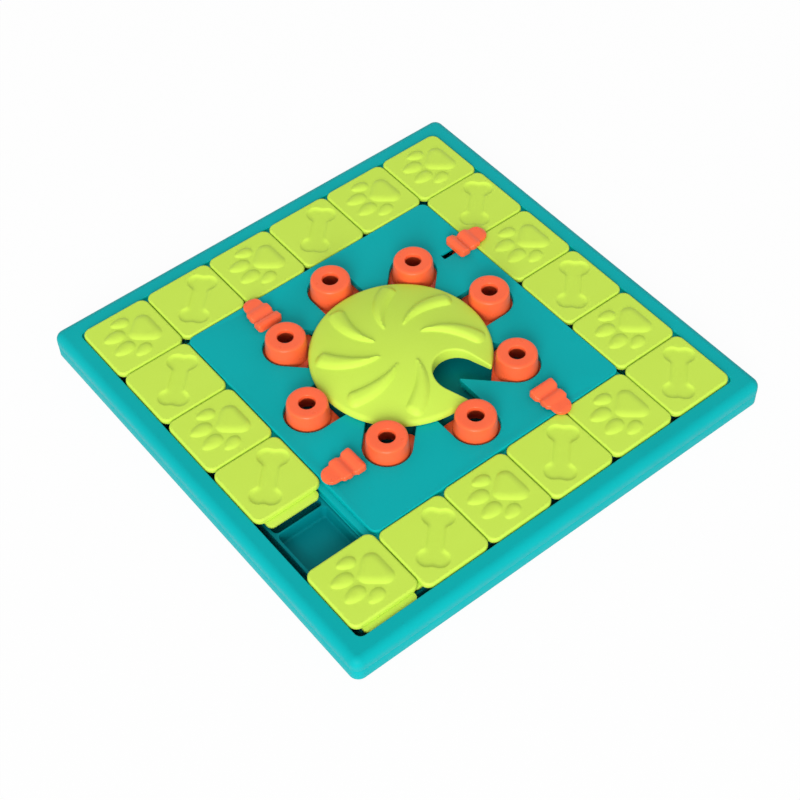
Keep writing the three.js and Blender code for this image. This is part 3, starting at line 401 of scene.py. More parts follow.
class Nodes:
    """Small help to write node trees."""

    def __init__(self, owner):
        owner.use_nodes = True
        self.tree = owner.node_tree
        self.tree.nodes.clear()

    def put(self, values, sockets):
        """Give each socket its value, or a link where that is another node's output."""
        for value, socket in zip(values, sockets):
            if isinstance(value, bpy.types.NodeSocket):
                self.tree.links.new(value, socket)
            else:
                socket.default_value = value

    def new(self, kind, **inputs):
        node = self.tree.nodes.new(kind)
        self.put(inputs.values(), [node.inputs[key.replace("_", " ")] for key in inputs])
        return node

    def where(self):
        return self.new("ShaderNodeTexCoord").outputs["Object"]

    def noise(self, vector, scale, detail, rough=0.5):
        node = self.new("ShaderNodeTexNoise", Vector=vector, Scale=scale, Detail=detail,
                        Roughness=rough)
        return node.outputs["Fac"]

    def spread(self, value, low, high, out_low=0.0, out_high=1.0):
        """The values from low to high spread over another range."""
        node = self.new("ShaderNodeMapRange", Value=value, From_Min=low, From_Max=high,
                        To_Min=out_low, To_Max=out_high)
        node.clamp = True
        return node.outputs["Result"]

    def math(self, operation, first, second):
        node = self.tree.nodes.new("ShaderNodeMath")
        node.operation = operation
        self.put((first, second), node.inputs)
        return node.outputs[0]

    def mix(self, share, first, second):
        """Colour between two others."""
        node = self.tree.nodes.new("ShaderNodeMix")
        node.data_type = "RGBA"
        colours = [s for s in node.inputs if s.type == "RGBA"]
        self.put((share, first, second), (node.inputs["Factor"], *colours))
        return next(s for s in node.outputs if s.type == "RGBA")

    def blend(self, share, first, second):
        """Shader between two others."""
        node = self.tree.nodes.new("ShaderNodeMixShader")
        self.put((share, first, second), node.inputs)
        return node.outputs[0]


def moulded(name, colour, deep, rough_low, rough_high, gloss, grain=0.05, wave=0.12):
    """Moulded plastic: slight mottle, fine grain, sink waviness and faint rubbed streaks."""
    material = bpy.data.materials.new(name)
    nodes = Nodes(material)
    where = nodes.where()
    broad = nodes.spread(nodes.noise(where, MOTTLE_SCALE, 2.0), 0.3, 0.7)
    speck = nodes.spread(nodes.noise(where, SPECK_SCALE, 2.0), 0.35, 0.65)
    mottle = nodes.math("ADD", nodes.math("MULTIPLY", broad, 0.7),
                        nodes.math("MULTIPLY", speck, 0.3))
    tint = nodes.mix(mottle, linear(*deep), linear(*colour))
    stretch = nodes.new("ShaderNodeMapping", Vector=where, Rotation=(0.0, 0.0, 0.7),
                        Scale=(1.0, 9.0, 3.0))
    rubbed = nodes.noise(stretch.outputs["Vector"], STREAK_SCALE, 4.0, 0.6)
    streak = nodes.math("MULTIPLY", nodes.spread(rubbed, 0.62, 0.74), 0.07)
    cloud = nodes.noise(where, CLOUD_SCALE, 3.0)
    rough = nodes.math("ADD", nodes.spread(cloud, 0.3, 0.7, rough_low, rough_high), streak)
    sink = nodes.new("ShaderNodeBump", Height=nodes.noise(where, SINK_SCALE, 1.0),
                     Strength=wave, Distance=SINK_DEPTH)
    bump = nodes.new("ShaderNodeBump", Height=nodes.noise(where, GRAIN_SCALE, 2.0),
                     Strength=grain, Distance=GRAIN_DEPTH, Normal=sink.outputs["Normal"])
    shader = nodes.new("ShaderNodeBsdfPrincipled", Base_Color=tint, Roughness=rough,
                       IOR=PLASTIC_IOR, Specular_IOR_Level=gloss, Normal=bump.outputs["Normal"])
    nodes.new("ShaderNodeOutputMaterial", Surface=shader.outputs["BSDF"])
    return material


def zinc(name):
    """Plated steel, slightly blotched, with a fine grain."""
    material = bpy.data.materials.new(name)
    nodes = Nodes(material)
    where = nodes.where()
    tone = nodes.mix(nodes.spread(nodes.noise(where, 300.0, 3.0), 0.3, 0.7),
                     linear(196, 200, 204), linear(150, 154, 160))
    bump = nodes.new("ShaderNodeBump", Height=nodes.noise(where, 5000.0, 2.0), Strength=0.2,
                     Distance=0.00005)
    rough = nodes.spread(nodes.noise(where, 700.0, 2.0), 0.3, 0.7, 0.26, 0.42)
    shader = nodes.new("ShaderNodeBsdfPrincipled", Base_Color=tone, Roughness=rough,
                       Metallic=1.0, Normal=bump.outputs["Normal"])
    nodes.new("ShaderNodeOutputMaterial", Surface=shader.outputs["BSDF"])
    return material


TEAL = moulded("teal_plastic", (0, 170, 173), (0, 164, 167), 0.42, 0.52, 0.14)
DEEP_TEAL = moulded("deep_teal_plastic", (0, 131, 138), (0, 124, 131), 0.46, 0.56, 0.09)
LIME = moulded("lime_plastic", (199, 230, 83), (194, 225, 76), 0.38, 0.48, 0.26)
ORANGE = moulded("orange_plastic", (253, 104, 59), (250, 97, 52), 0.27, 0.36, 0.5)
RUBBER = moulded("black_rubber", (44, 44, 46), (34, 34, 36), 0.8, 0.92, 0.3, 0.3, 0.05)
STEEL = zinc("zinc_steel")


# Case
def screw_cup(shell, x, y):
    """Cup round a screw's head, hollow from below; returns its root and its mouth."""
    wall, head, bore = (circle(radius, 32, x, y) for radius in (5.1, 3.5, SCREW_HOLE))
    return shell.walk((wall, FLOOR_TOP), (wall, HEAD_CUP_TOP - CHAMFER),
                      (inset(wall, CHAMFER), HEAD_CUP_TOP), (bore, HEAD_CUP_TOP),
                      (bore, SCREW_SEAT + 0.3), (head, SCREW_SEAT + 0.3),
                      (head, CASE_UNDER + CHAMFER), (inset(head, -CHAMFER), CASE_UNDER))


def bottom_tray():
    shell = Shell()
    outer = square(BOARD_HALF - CASE_STEP, CASE_CORNER - CASE_STEP)
    wall = inset(outer, CASE_WALL)
    bottom, floor = shell.walk(
        (inset(outer, 1.1), CASE_UNDER), *eased(outer, CASE_UNDER, 0.8, 4, below=-1)[::-1],
        (outer, TRAY_TOP - 0.4), (inset(outer, 0.12), TRAY_TOP - 0.12),
        (inset(outer, 0.4), TRAY_TOP), (inset(outer, CASE_WALL - 0.4), TRAY_TOP),
        (wall, TRAY_TOP - CHAMFER), (wall, FLOOR_TOP))
    rib = square(STRIP_END, 1.5)
    within = inset(rib, 1.45)
    foot, ceiling = shell.walk(
        (rib, FLOOR_TOP), (rib, WELL_TOP - CHAMFER), (inset(rib, CHAMFER), WELL_TOP),
        (inset(rib, 1.4), WELL_TOP), (within, WELL_TOP - CHAMFER), (within, FLOOR_TOP))
    under, outside, inside = [], [foot], []
    for places, level in ((RIM_SCREWS, outside), (DECK_SCREWS, inside)):
        for x, y in places:
            root, mouth = screw_cup(shell, x, y)
            level.append(root)
            under.append(mouth)
    for x, y in FEET:
        hole = circle(FOOT_HOLE, 32, x, y)
        low, high = shell.walk((hole, CASE_UNDER), (hole, FLOOR_TOP))
        under.append(low)
        outside.append(high)
    shell.cap(floor, outside)
    shell.cap(ceiling, inside)
    shell.cap(bottom, under)
    return shell


def top_frame():
    shell = Shell()
    outer = square(BOARD_HALF, CASE_CORNER)
    opening = square(OPENING_HALF, OPENING_CORNER, 0.6)
    wall = inset(outer, CASE_WALL)
    inner, top = shell.walk(
        (wall, SHEET_UNDER), (wall, PARTING + CHAMFER),
        (inset(outer, CASE_WALL - CHAMFER), PARTING), (inset(outer, CHAMFER), PARTING),
        (inset(outer, 0.1), PARTING + 0.1), (outer, PARTING + 0.35),
        *eased(outer, RIM_TOP, RIM_ROUNDING, 11), (inset(outer, RIM_ROUNDING + 0.3), RIM_TOP))
    edge, under = shell.walk(
        (inset(opening, -1.0), RIM_TOP), *eased(opening, RIM_TOP, 0.8, 3, inward=-1)[::-1],
        (inset(opening, -0.01), SHEET_UNDER + 0.2), (inset(opening, -0.2), SHEET_UNDER))
    shell.cap(top, [edge])
    shell.cap(inner, [under])
    for x, y in RIM_SCREWS:
        shell.add(screw_post(x, y, SHEET_UNDER + 0.4))
    out, end, reach = 195.4, 192.0, 186.7
    lip = fillet([(-out, -end), (-reach, -end), (-reach, reach), (end, reach), (end, out),
                  (-out, out)], [1, 2, 2, 2, 1, 1], 0.6)
    root = fillet([(-out, -end), (-OPENING_HALF, -end), (-OPENING_HALF, OPENING_HALF),
                   (end, OPENING_HALF), (end, out), (-out, out)], 0.5, 0.5)
    shell.add(prism(lip, TONGUE_UNDER, TONGUE_TOP, 0.4, 3))
    shell.add(prism(root, TONGUE_UNDER + 1, SHEET_UNDER + 0.4, 0.1, 1))
    return shell


def star(half, end, tip):
    """Eight arms that cross in the middle and end round."""
    arc_step, valley_steps = 0.8, 5
    valley = half / math.sin(EIGHTH / 2)
    points = []
    for arm in range(8):
        angle = arm * EIGHTH
        before = angle - EIGHTH / 2
        corner = np.array([valley * math.cos(before), valley * math.sin(before)])
        points += bend(spot(end, half, angle - EIGHTH), corner, spot(end, -half, angle), tip,
                       valley_steps)
        sweep = np.linspace(-QUARTER, QUARTER, math.ceil(math.pi * half / arc_step) + 1)
        arc = np.stack([end + half * np.cos(sweep), half * np.sin(sweep)], 1)
        points.extend(turned(arc, angle))
    return np.array(points)


def deck_plate():
    shell = Shell()
    outer = square(DECK_HALF, DECK_CORNER, 0.6)
    slots = star(SLOT_HALF, SLOT_END, 0.9)
    pocket = inset(outer, 2.3)
    under, top = shell.walk(
        (pocket, DECK_UNDER), (pocket, SHEET_UNDER + 0.2), (inset(pocket, -0.2), SHEET_UNDER),
        (inset(outer, 0.2), SHEET_UNDER), (outer, SHEET_UNDER + 0.2),
        *eased(outer, DECK_TOP, 1.1, 5), (inset(outer, 1.4), DECK_TOP))
    edge, skirt = shell.walk(
        (inset(slots, -0.8), DECK_TOP), *eased(slots, DECK_TOP, 0.6, 3, inward=-1)[::-1],
        (inset(slots, -0.01), SKIRT_UNDER + 0.2), (inset(slots, -0.2), SKIRT_UNDER),
        (inset(slots, -3.9), SKIRT_UNDER), (inset(slots, -4.1), SKIRT_UNDER + 0.2),
        (inset(slots, -4.1), DECK_UNDER))
    holes, below = [edge], [skirt]
    for k in range(4):
        slot = turned(box_outline(*NECK_SLOT, 1.4, 0.4), k * QUARTER)
        high, low = shell.walk((inset(slot, -0.5), DECK_TOP),
                               (inset(slot, -0.12), DECK_TOP - 0.12),
                               (slot, DECK_TOP - 0.5), (slot, DECK_UNDER))
        holes.append(high)
        below.append(low)
    shell.cap(top, holes)
    shell.cap(under, below)
    for x, y in DECK_SCREWS:
        shell.add(screw_post(x, y, DECK_UNDER + 0.4))
    reach, root = DECK_HALF + 5.3, DECK_HALF - 3.4
    side, corner = DECK_HALF - 1.0, DECK_HALF - DECK_CORNER
    far, near = reach - 0.2, reach - 1.5
    lip = fillet([(-DECK_HALF, -reach), (reach, -reach), (reach, DECK_HALF), (root, DECK_HALF),
                  (root, -root), (-DECK_HALF, -root)], [1.5, 1.5, 1.5, 0, 0, 0], 0.5)
    web = fillet([(-corner, -side), (side, -side), (side, corner), (root, corner),
                  (root, -root), (-corner, -root)], 0)
    curtain = fillet([(-side, -far), (far, -far), (far, side), (near, side), (near, -near),
                      (-side, -near)], [0.3, 1.3, 0.3, 0.3, 0.3, 0.3], 0.4)
    shell.add(prism(lip, TONGUE_UNDER, TONGUE_TOP, 0.25, 2))
    shell.add(prism(web, TONGUE_UNDER + 1, SHEET_UNDER + 0.4, 0.05, 1))
    shell.add(prism(curtain, WELL_TOP + 0.15, TONGUE_UNDER + 0.4, 0.1, 1))
    return shell


def well_tray(first, last):
    """The cups of a strip from the first up to the last, drafted and rounded inside."""
    joint_gap, joint_wall, end_wall, half_wall = 0.15, 1.3, 2.5, 0.8
    marks = [-WELL_OUTSIDE, *(k * PLACE - 181.0 for k in range(1, 5)), STRIP_END]
    left = marks[first] + (joint_gap if first else 0.0)
    right = marks[last] - (joint_gap if last < 5 else 0.0)
    block = box_outline(left, -WELL_OUTSIDE, right, -WELL_INSIDE, 0.9, 0.3)
    shell = Shell()
    bottom, top = shell.walk((inset(block, 0.4), WELL_UNDER), (block, WELL_UNDER + 0.4),
                             (block, WELL_TOP - CHAMFER), (inset(block, 0.09), WELL_TOP - 0.09),
                             (inset(block, CHAMFER), WELL_TOP))
    shell.cap(bottom)
    mouths = []
    for k in range(first, last):
        start, end = marks[k] + half_wall, marks[k + 1] - half_wall
        if k == first:
            start = left + (joint_wall if first else end_wall)
        if k == last - 1:
            end = right - (joint_wall if last < 5 else end_wall)
        cup = box_outline(start, end_wall - WELL_OUTSIDE, end, -WELL_INSIDE - end_wall, 4.0, 0.6)
        mouth, floor = shell.walk(
            (inset(cup, -0.25), WELL_TOP), (inset(cup, -0.05), WELL_TOP - 0.1),
            (inset(cup, 0.02), WELL_TOP - 0.35),
            *eased(cup, CUP_FLOOR, 2.0, 6, below=-1, start=0.5), (inset(cup, 2.7), CUP_FLOOR))
        mouths.append(mouth)
        shell.cap(floor)
    shell.cap(top, mouths)
    return shell


def star_tray():
    shell = Shell()
    outer = star(BED_HALF, BED_END, 2.0)
    inner = star(BED_HALF - 2.0, BED_END, 0.9)
    rise, rim = shell.walk((inset(outer, 0.4), BED_UNDER), (outer, BED_UNDER + 0.4),
                           (outer, BED_WALL_TOP - 0.2), (inset(outer, 0.2), BED_WALL_TOP))
    lip, bed = shell.walk((inset(inner, -0.2), BED_WALL_TOP), (inner, BED_WALL_TOP - 0.2),
                          (inner, BED_TOP + 0.6), (inset(inner, 0.18), BED_TOP + 0.18),
                          (inset(inner, 0.6), BED_TOP), (inset(inner, 0.8), BED_TOP))
    shell.cap(rim, [lip])
    holes, under = [], []
    for arm in range(8):
        x, y = spot(PEG_RING, 0.0, arm * EIGHTH)
        cup, wall = circle(PEG_CUP, 64, x, y), circle(PEG_CUP + 1.6, 64, x, y)
        mouth, floor = shell.walk(
            (inset(cup, -0.5), BED_TOP), (inset(cup, -0.1), BED_TOP - 0.1), (cup, BED_TOP - 0.5),
            *eased(cup, CUP_FLOOR, 3.0, 5, below=-1, start=0.4))
        root, foot = shell.walk((wall, BED_UNDER), (wall, WELL_UNDER + 1.0),
                                (inset(wall, CHAMFER), WELL_UNDER + CHAMFER),
                                (inset(wall, 1.0), WELL_UNDER))
        shell.cap(floor)
        shell.cap(foot)
        holes.append(mouth)
        under.append(root)
    socket, bore = circle(12.45, 48), circle(9.6, 48)
    base, well = shell.walk(
        (socket, BED_TOP), (socket, HUB_WALL_TOP - CHAMFER), (inset(socket, CHAMFER), HUB_WALL_TOP),
        (inset(bore, -CHAMFER), HUB_WALL_TOP), (bore, HUB_WALL_TOP - CHAMFER), (bore, BED_TOP))
    high, low = shell.spin(24, (AXLE_HOLE, BED_TOP), (AXLE_HOLE, BED_UNDER))
    shell.cap(well, [high])
    shell.cap(bed, [*holes, base])
    shell.cap(rise, [*under, low])
    return shell


# Tiles
def swell(points, outline, width, height):
    """Soft pad over an outline: steep at its foot, level in its middle."""
    blend, sink, power = 0.35, 0.03, 2.3
    depth = depth_in(points, outline)
    depth = (depth + np.sqrt(depth * depth + blend ** 2)) / 2 - sink
    return height * (1 - (1 - np.clip(depth / width, 0, 1)) ** power)


def egg(x, y, width, length, tilt):
    angles = np.arange(40) * CIRCLE / 40
    half = width / 2 * (1 + 0.2 * np.sin(angles))
    points = np.stack([half * np.cos(angles), length / 2 * np.sin(angles)], 1)
    return turned(points, math.radians(tilt)) + (x, y)


def heel():
    """Large pad of the paw: the hull of three circles, with a dent in its long side."""
    circles = np.vstack([circle(7.7, 48, -8.4, 15.2), circle(7.7, 48, 8.4, 15.2),
                         circle(6.8, 48, 0.0, 3.9)])
    ways = circle(1.0, 96)
    reach = (circles @ ways.T).max(0)
    pairs = np.stack([ways, np.roll(ways, -1, 0)], 1)
    reaches = np.stack([reach, np.roll(reach, -1)], 1)
    x, y = np.linalg.solve(pairs, reaches[..., None])[..., 0].T
    dent = 1.3 * np.exp(-(x / 4.5) ** 2) * (y > 12)
    return smooth(np.stack([x, y - dent], 1), 0.9, 4)


def bone():
    x, y, knob, shaft = 19.2, 5.0, 8.5, 7.3
    waist, dip = math.asin((shaft - y) / knob), math.asin(y / knob)
    arcs = []
    for cx, cy, start, end in ((x, -y, waist - math.pi, dip), (x, y, -dip, math.pi - waist),
                               (-x, y, waist, math.pi + dip),
                               (-x, -y, math.pi - dip, CIRCLE - waist)):
        sweep = np.linspace(start, end, 28)
        arcs.append(np.stack([cx + knob * np.cos(sweep), cy + knob * np.sin(sweep)], 1))
    return turned(smooth(np.vstack(arcs), 0.9, 6), -EIGHTH) + (0.0, 2.5)


def tile(relief):
    """Tile with a raised paw or a sunk bone, and two tongues below."""
    shell = Shell()
    slab = square(TILE_HALF, TILE_CORNER, 0.6)
    # Each pad: its outline, the width of its slope and its height
    if relief == "paw":
        pads = [(heel(), 6.6, 2.0)]
        for side in (-1, 1):
            pads.append((egg(side * 7.9, -12.9, 12.8, 19.8, side * 6), 6.0, 1.9))
            pads.append((egg(side * 18.6, -1.0, 11.2, 16.6, side * 14), 5.3, 1.8))
    else:
        pads = [(bone(), 4.0, -1.7)]

    def top(points):
        return TILE_TOP + sum(swell(points, outline, width, rise) for outline, width, rise in pads)

    def free(points):
        keep = np.ones(len(points), bool)
        for outline, _, _ in pads:
            depth = depth_in(points, outline)
            keep &= (depth < -1.6) | (depth > 3.3)
        return keep

    under, face = shell.walk((inset(slab, CHAMFER), SHEET_UNDER), (slab, SHEET_UNDER + CHAMFER),
                             *eased(slab, TILE_TOP, 1.9, 6), (inset(slab, 2.2), TILE_TOP))
    lines = [inset(outline, depth) for outline, _, _ in pads
             for depth in (-1.0, -0.45, -0.15, 0.15, 0.5, 1.0, 1.7, 2.6)]
    filler = grid(square(TILE_HALF - 2.2, 5.0), 1.7, 1.2, free)
    shell.cap(face, lines=lines, filler=filler, height=top)
    half, reach = 24.5, TILE_HALF + 6.5
    plate = fillet([(-half, -reach), (half, -reach), (half, -half), (reach, -half),
                    (reach, half), (-half, half)], [5, 5, 1.5, 5, 5, 2], 0.5)
    core = square(24.1, 1.6, 0.5)
    high, root = shell.walk((core, SHEET_UNDER), (core, TONGUE_TOP))
    shell.cap(under, [high])
    shelf, below = shell.walk(*eased(plate, TONGUE_TOP, 0.35, 2)[::-1],
                              *eased(plate, TONGUE_UNDER, 0.35, 2, below=-1))
    shell.cap(shelf, [root])
    skirt, ceiling = shell.walk((core, TONGUE_UNDER), (core, TILE_UNDER + CHAMFER),
                                (inset(core, CHAMFER), TILE_UNDER),
                                (inset(core, 1.2), TILE_UNDER), (inset(core, 1.3), TONGUE_UNDER))
    shell.cap(below, [skirt])
    shell.cap(ceiling)
    return shell


# Wheel
WHEEL_RADIUS = 76.6
DOME_RISE = 9.6
NOTCH_TURN = EIGHTH / 2
NOTCH_HALF = 19.6
NOTCH_MIDDLE, NOTCH_ROUND = 53.0, 20.7
HORN = 74.05
# Share of the width, widening and start of each line along a rib
RIB_LINES = ((1.0, 0.6, 0.0), (1.0, 0.0, 0.0), (1.0, -0.35, 0.01), (0.8, 0.0, 0.06),
             (0.55, 0.0, 0.16), (0.3, 0.0, 0.3))


def dome(points):
    radius = np.linalg.norm(points, axis=1)
    return WHEEL_EDGE_TOP + DOME_RISE * (1 - (radius / WHEEL_RADIUS) ** 2)


def rib(angle, share=1.0, more=0.0, start=0.0):
    """Outline of one swept rib: narrow inside, wide and round outside."""
    places = np.linspace(start, 1, 26)
    radius = 21.5 + 44.5 * places
    turn = angle - math.radians(29) * places
    spine = np.stack([radius * np.cos(turn), radius * np.sin(turn)], 1)
    ahead = np.gradient(spine, axis=0)
    ahead /= np.linalg.norm(ahead, axis=1)[:, None]
    left = np.stack([-ahead[:, 1], ahead[:, 0]], 1)
    half = ((1.4 + 6.2 * np.sin(places * QUARTER)) * share + more)[:, None]
    sweep = np.linspace(QUARTER, -QUARTER, 15)[1:-1, None]
    end = (spine[-1] + (4.8 * share + more) * np.cos(sweep) * ahead[-1]
           + half[-1] * np.sin(sweep) * left[-1])
    tip = spine[0] - ahead[0] * (1.2 * share + more)
    loop = np.vstack([spine + left * half, end, (spine - left * half)[::-1], [tip]])
    return smooth(loop[::-1], 1.1, 3)


def wheel_outline():
    """Round with one notch that opens along +X; its horns are rounded."""
    def flank(x):
        return NOTCH_HALF + (HORN - x) * 0.0523

    mouth = math.asin(NOTCH_HALF / WHEEL_RADIUS)
    rim = np.linspace(mouth, CIRCLE - mouth, 230)
    rim = np.concatenate([rim[:1], rim[3:-3], rim[-1:]])
    corners = [(WHEEL_RADIUS * math.cos(a), WHEEL_RADIUS * math.sin(a)) for a in rim]
    corners += [(x, -flank(x)) for x in (70, 66, 62, 58)]
    corners += [(NOTCH_MIDDLE - NOTCH_ROUND * math.sin(a), -NOTCH_ROUND * math.cos(a))
                for a in np.linspace(0, math.pi, 56)]
    corners += [(x, flank(x)) for x in (58, 62, 66, 70)]
    radii = [0.0] * len(corners)
    radii[0] = radii[len(rim) - 1] = 1.5
    return fillet(corners, radii, 0.3)


def wheel():
    shell = Shell()
    plain = wheel_outline()
    loop = turned(plain, NOTCH_TURN)
    on_rim = np.linalg.norm(plain, axis=1) > WHEEL_RADIUS - 0.01
    horn = np.minimum(*(np.linalg.norm(plain - (HORN, side * NOTCH_HALF), axis=1)
                        for side in (1, -1)))
    ease = np.clip((horn - 1.5) / 12, 0, 1)
    round_by = np.where(on_rim, 1.35 + 1.85 * ease, 1.35 + 0.35 * ease)
    rings = [(inset(loop, CHAMFER), WHEEL_UNDER), (loop, WHEEL_UNDER + CHAMFER)]
    for i, d in quarter_turn(1.0, 7):
        ring = inset(loop, i * round_by)
        rings.append((ring, dome(ring) - d * round_by))
    guard = inset(loop, round_by + 0.3)
    under, top = shell.walk(*rings, (guard, dome(guard)))
    angles = [k * EIGHTH for k in range(8) if k != 1]
    ribs = [rib(angle) for angle in angles]
    lines = [rib(angle, *line) for angle in angles for line in RIB_LINES]

    def height(points):
        return dome(points) + sum(swell(points, outline, 6.4, 3.5) for outline in ribs)

    def free(points):
        keep = np.ones(len(points), bool)
        for line in lines:
            keep &= np.abs(depth_in(points, line)) > 0.55
        return keep

    shell.cap(top, lines=lines, filler=grid(guard, 1.7, 1.0, free), height=height)
    hub = circle(9.0, 48)
    root, end = shell.walk((hub, WHEEL_UNDER), (hub, PEG_UNDER + CHAMFER),
                           (inset(hub, CHAMFER), PEG_UNDER))
    shell.cap(under, [root])
    mouth, blind = shell.spin(24, (AXLE_HOLE, PEG_UNDER), (AXLE_HOLE, DECK_UNDER))
    shell.cap(end, [mouth])
    shell.cap(blind)
    return shell


# Pegs
PEG_HALF, PEG_TAIL = 21.9, 19.8
PEG_TOP_RADIUS = 17.0
PEG_HOLE = 7.0


def peg():
    """Ring with a soft waist on a foot that is round towards +X."""
    shell = Shell()
    front = [(PEG_HALF * math.cos(a), PEG_HALF * math.sin(a))
             for a in np.linspace(-QUARTER, QUARTER, 49)[1:-1]]
    foot = fillet([(-PEG_TAIL, -PEG_HALF), (0.001, -PEG_HALF), *front, (0.001, PEG_HALF),
                   (-PEG_TAIL, PEG_HALF)], [7, 0, *[0] * len(front), 0, 7], 0.8)
    under, shelf = shell.walk(*eased(foot, PEG_UNDER, 0.5, 2, below=-1)[::-1],
                              *eased(foot, PEG_FOOT_TOP, 0.5, 3))
    profile = [(19.1, PEG_FOOT_TOP), (18.7, PEG_FOOT_TOP + 0.1), (18.55, PEG_FOOT_TOP + 0.5),
               (17.6, 31.0)]
    profile += [(PEG_TOP_RADIUS - i, PEG_TOP - d) for i, d in quarter_turn(2.6, 8)]
    profile += [(radius, PEG_TOP - 0.18 * ((14.4 - radius) / 6.5) ** 2)
                for radius in (13.9, 12.0, 10.5, 9.0)]
    profile += [(PEG_HOLE + i, PEG_TOP - 0.2 - d) for i, d in reversed(quarter_turn(1.0, 4))]
    profile += [(6.9, PEG_TOP - 3.9), (7.2, PEG_TOP - 4.2), (12.9, PEG_TOP - 4.2),
                (14.1, PEG_TOP - 5.0), (14.5, PEG_TOP - 6.4), (15.6, PEG_UNDER)]
    root, bore = shell.spin(96, *profile)
    shell.cap(shelf, [root])
    shell.cap(under, [bore])
    return shell


# Lockers: u runs from the tail to the nose
LOCKER_LENGTH = 35.0
NOSE_START = LOCKER_LENGTH / 2
NOSE_RAMP = 0.15
NOSE_STEP = (NOSE_START - NOSE_RAMP, NOSE_START)
# Place along the locker and height above the deck
LOCKER_STOPS = [(0.0, 5.3), (2.3, 7.0), (4.2, 7.35), (6.2, 6.9), (10.9, 4.1), (16.6, 5.95),
                (18.6, 5.9), (24.0, 4.6), (31.4, 4.55), (35.0, 3.5)]
# Place along the locker, half its width there and the corner's radius
LOCKER_CORNERS = [(LOCKER_LENGTH, 8.25, 8.2), (23.4, 8.35, 1.6), (21.4, 10.75, 2.4),
                  (14.6, 10.75, 1.9), (11.6, 9.6, 1.8), (8.9, 11.75, 2.4), (0.0, 11.75, 3.1)]


def locker_top(points):
    """Height along the locker, eased between its stops."""
    u = points[:, 0]
    level = np.full(len(u), LOCKER_STOPS[0][1])
    for (u0, z0), (u1, z1) in zip(LOCKER_STOPS, LOCKER_STOPS[1:]):
        share = np.clip((u - u0) / (u1 - u0), 0, 1)
        level = level + (z1 - z0) * share * share * (3 - 2 * share)
    return DECK_TOP + level


def locker_under(points):
    share = np.clip((points[:, 0] - NOSE_STEP[0]) / NOSE_RAMP, 0, 1)
    return LOCKER_UNDER + (NOSE_UNDER - LOCKER_UNDER) * share


def locker_outline():
    """The outline, with points of its own where the step below the nose crosses it."""
    corners = [(u, v) for u, v, _ in LOCKER_CORNERS]
    corners += [(u, -v) for u, v in reversed(corners)]
    radii = [radius for _, _, radius in LOCKER_CORNERS]
    loop = fillet(corners, radii + radii[::-1], 0.45)
    split = []
    for a, b in zip(loop, np.roll(loop, -1, 0)):
        split.append(a)
        marks = [m for m in NOSE_STEP if min(a[0], b[0]) < m < max(a[0], b[0])]
        for mark in sorted(marks, key=lambda m: abs(m - a[0])):
            split.append(a + (b - a) * (mark - a[0]) / (b[0] - a[0]))
    return np.array(split)


def locker():
    """Thumb slide: wide ridged tail, narrower second ridge and a thin round nose."""
    shell = Shell()
    loop = locker_outline()
    round_by = 1.6 - 0.8 * np.clip((loop[:, 0] - 19.0) / 6, 0, 1)
    rings = [(inset(loop, 0.2), locker_under(loop)), (loop, locker_under(loop) + 0.2)]
    for i, d in quarter_turn(1.0, 5):
        ring = inset(loop, i * round_by)
        rings.append((ring, locker_top(ring) - d * round_by))
    guard = inset(loop, round_by + 0.25)
    under, top = shell.walk(*rings, (guard, locker_top(guard)))
    shell.cap(top, filler=grid(guard, 0.95, 0.5), height=locker_top)
    base = np.array([shell.points[i][:2] for i in under])
    seams = []
    for mark in NOSE_STEP:
        on_line = base[np.abs(base[:, 0] - mark) < 0.06]
        seams.append(np.linspace(on_line[on_line[:, 1].argmin()],
                                 on_line[on_line[:, 1].argmax()], 24))
    shell.cap(under, seams=seams, height=locker_under)
    key = fillet([(NOSE_START - 0.6, -3.4), (NOSE_START, -3.4), (20.1, -0.9), (20.1, 0.9),
                  (NOSE_START, 3.4), (NOSE_START - 0.6, 3.4)], [0, 0, 0.8, 0.8, 0, 0], 0.3)
    neck = box_outline(4.3, -2.5, 11.3, 2.5, 0.8, 0.3)
    stud = box_outline(5.0, -1.8, 10.6, 1.8, 0.4, 0.3)
    shell.add(prism(key, LOCKER_UNDER, NOSE_UNDER + 0.5, 0.1, 1))
    shell.add(prism(neck, 20.0, LOCKER_UNDER + 0.4, 0.15, 1))
    shell.add(prism(stud, WELL_TOP, 20.3, 0.15, 1))
    return shell


def keeper():
    shell = Shell()
    plate = box_outline(1.9, -4.9, 13.7, 4.9, 1.5, 0.4)
    hole = box_outline(4.7, -2.1, 10.9, 2.1, 0.5, 0.3)
    low, high = WELL_TOP, WELL_TOP + 2.0
    under, top = shell.walk((inset(plate, CHAMFER), low), (plate, low + CHAMFER),
                            (plate, high - CHAMFER), (inset(plate, 0.09), high - 0.09),
                            (inset(plate, CHAMFER), high))
    edge, foot = shell.walk((hole, high), (hole, low))
    shell.cap(top, [edge])
    shell.cap(under, [foot])
    return shell


# Small parts
def screw(seat, head, head_radius, edge, cross, deep, shank, core, start, threads, point):
    """Pan head with a cross recess below, and a threaded shank that ends in the point."""
    shell = Shell()
    root, face = shell.spin(32, (shank, seat), (head_radius, seat),
                            *[(head_radius - i, head + d) for i, d in quarter_turn(edge, 4)])
    arm, tip, rounding, draft = cross
    quarter = np.array([(tip, -arm), (tip, arm), (arm, arm)])
    recess = fillet(np.vstack([turned(quarter, k * QUARTER) for k in range(4)]), rounding, 0.1)
    mouth, floor = shell.walk((recess, head), (inset(recess, draft), head + deep))
    shell.cap(face, [mouth])
    shell.cap(floor)
    profile = [(shank, seat)]
    if start - seat > 1:
        profile.append((shank, start))
    for k in range(1, threads + 1):
        level = start + k * THREAD_PITCH
        profile += [(core, level - THREAD_PITCH / 2), (shank, level)]
    low, end = shell.spin(32, *profile, point)
    shell.bridge(low, root)
    shell.cap(end)
    return shell


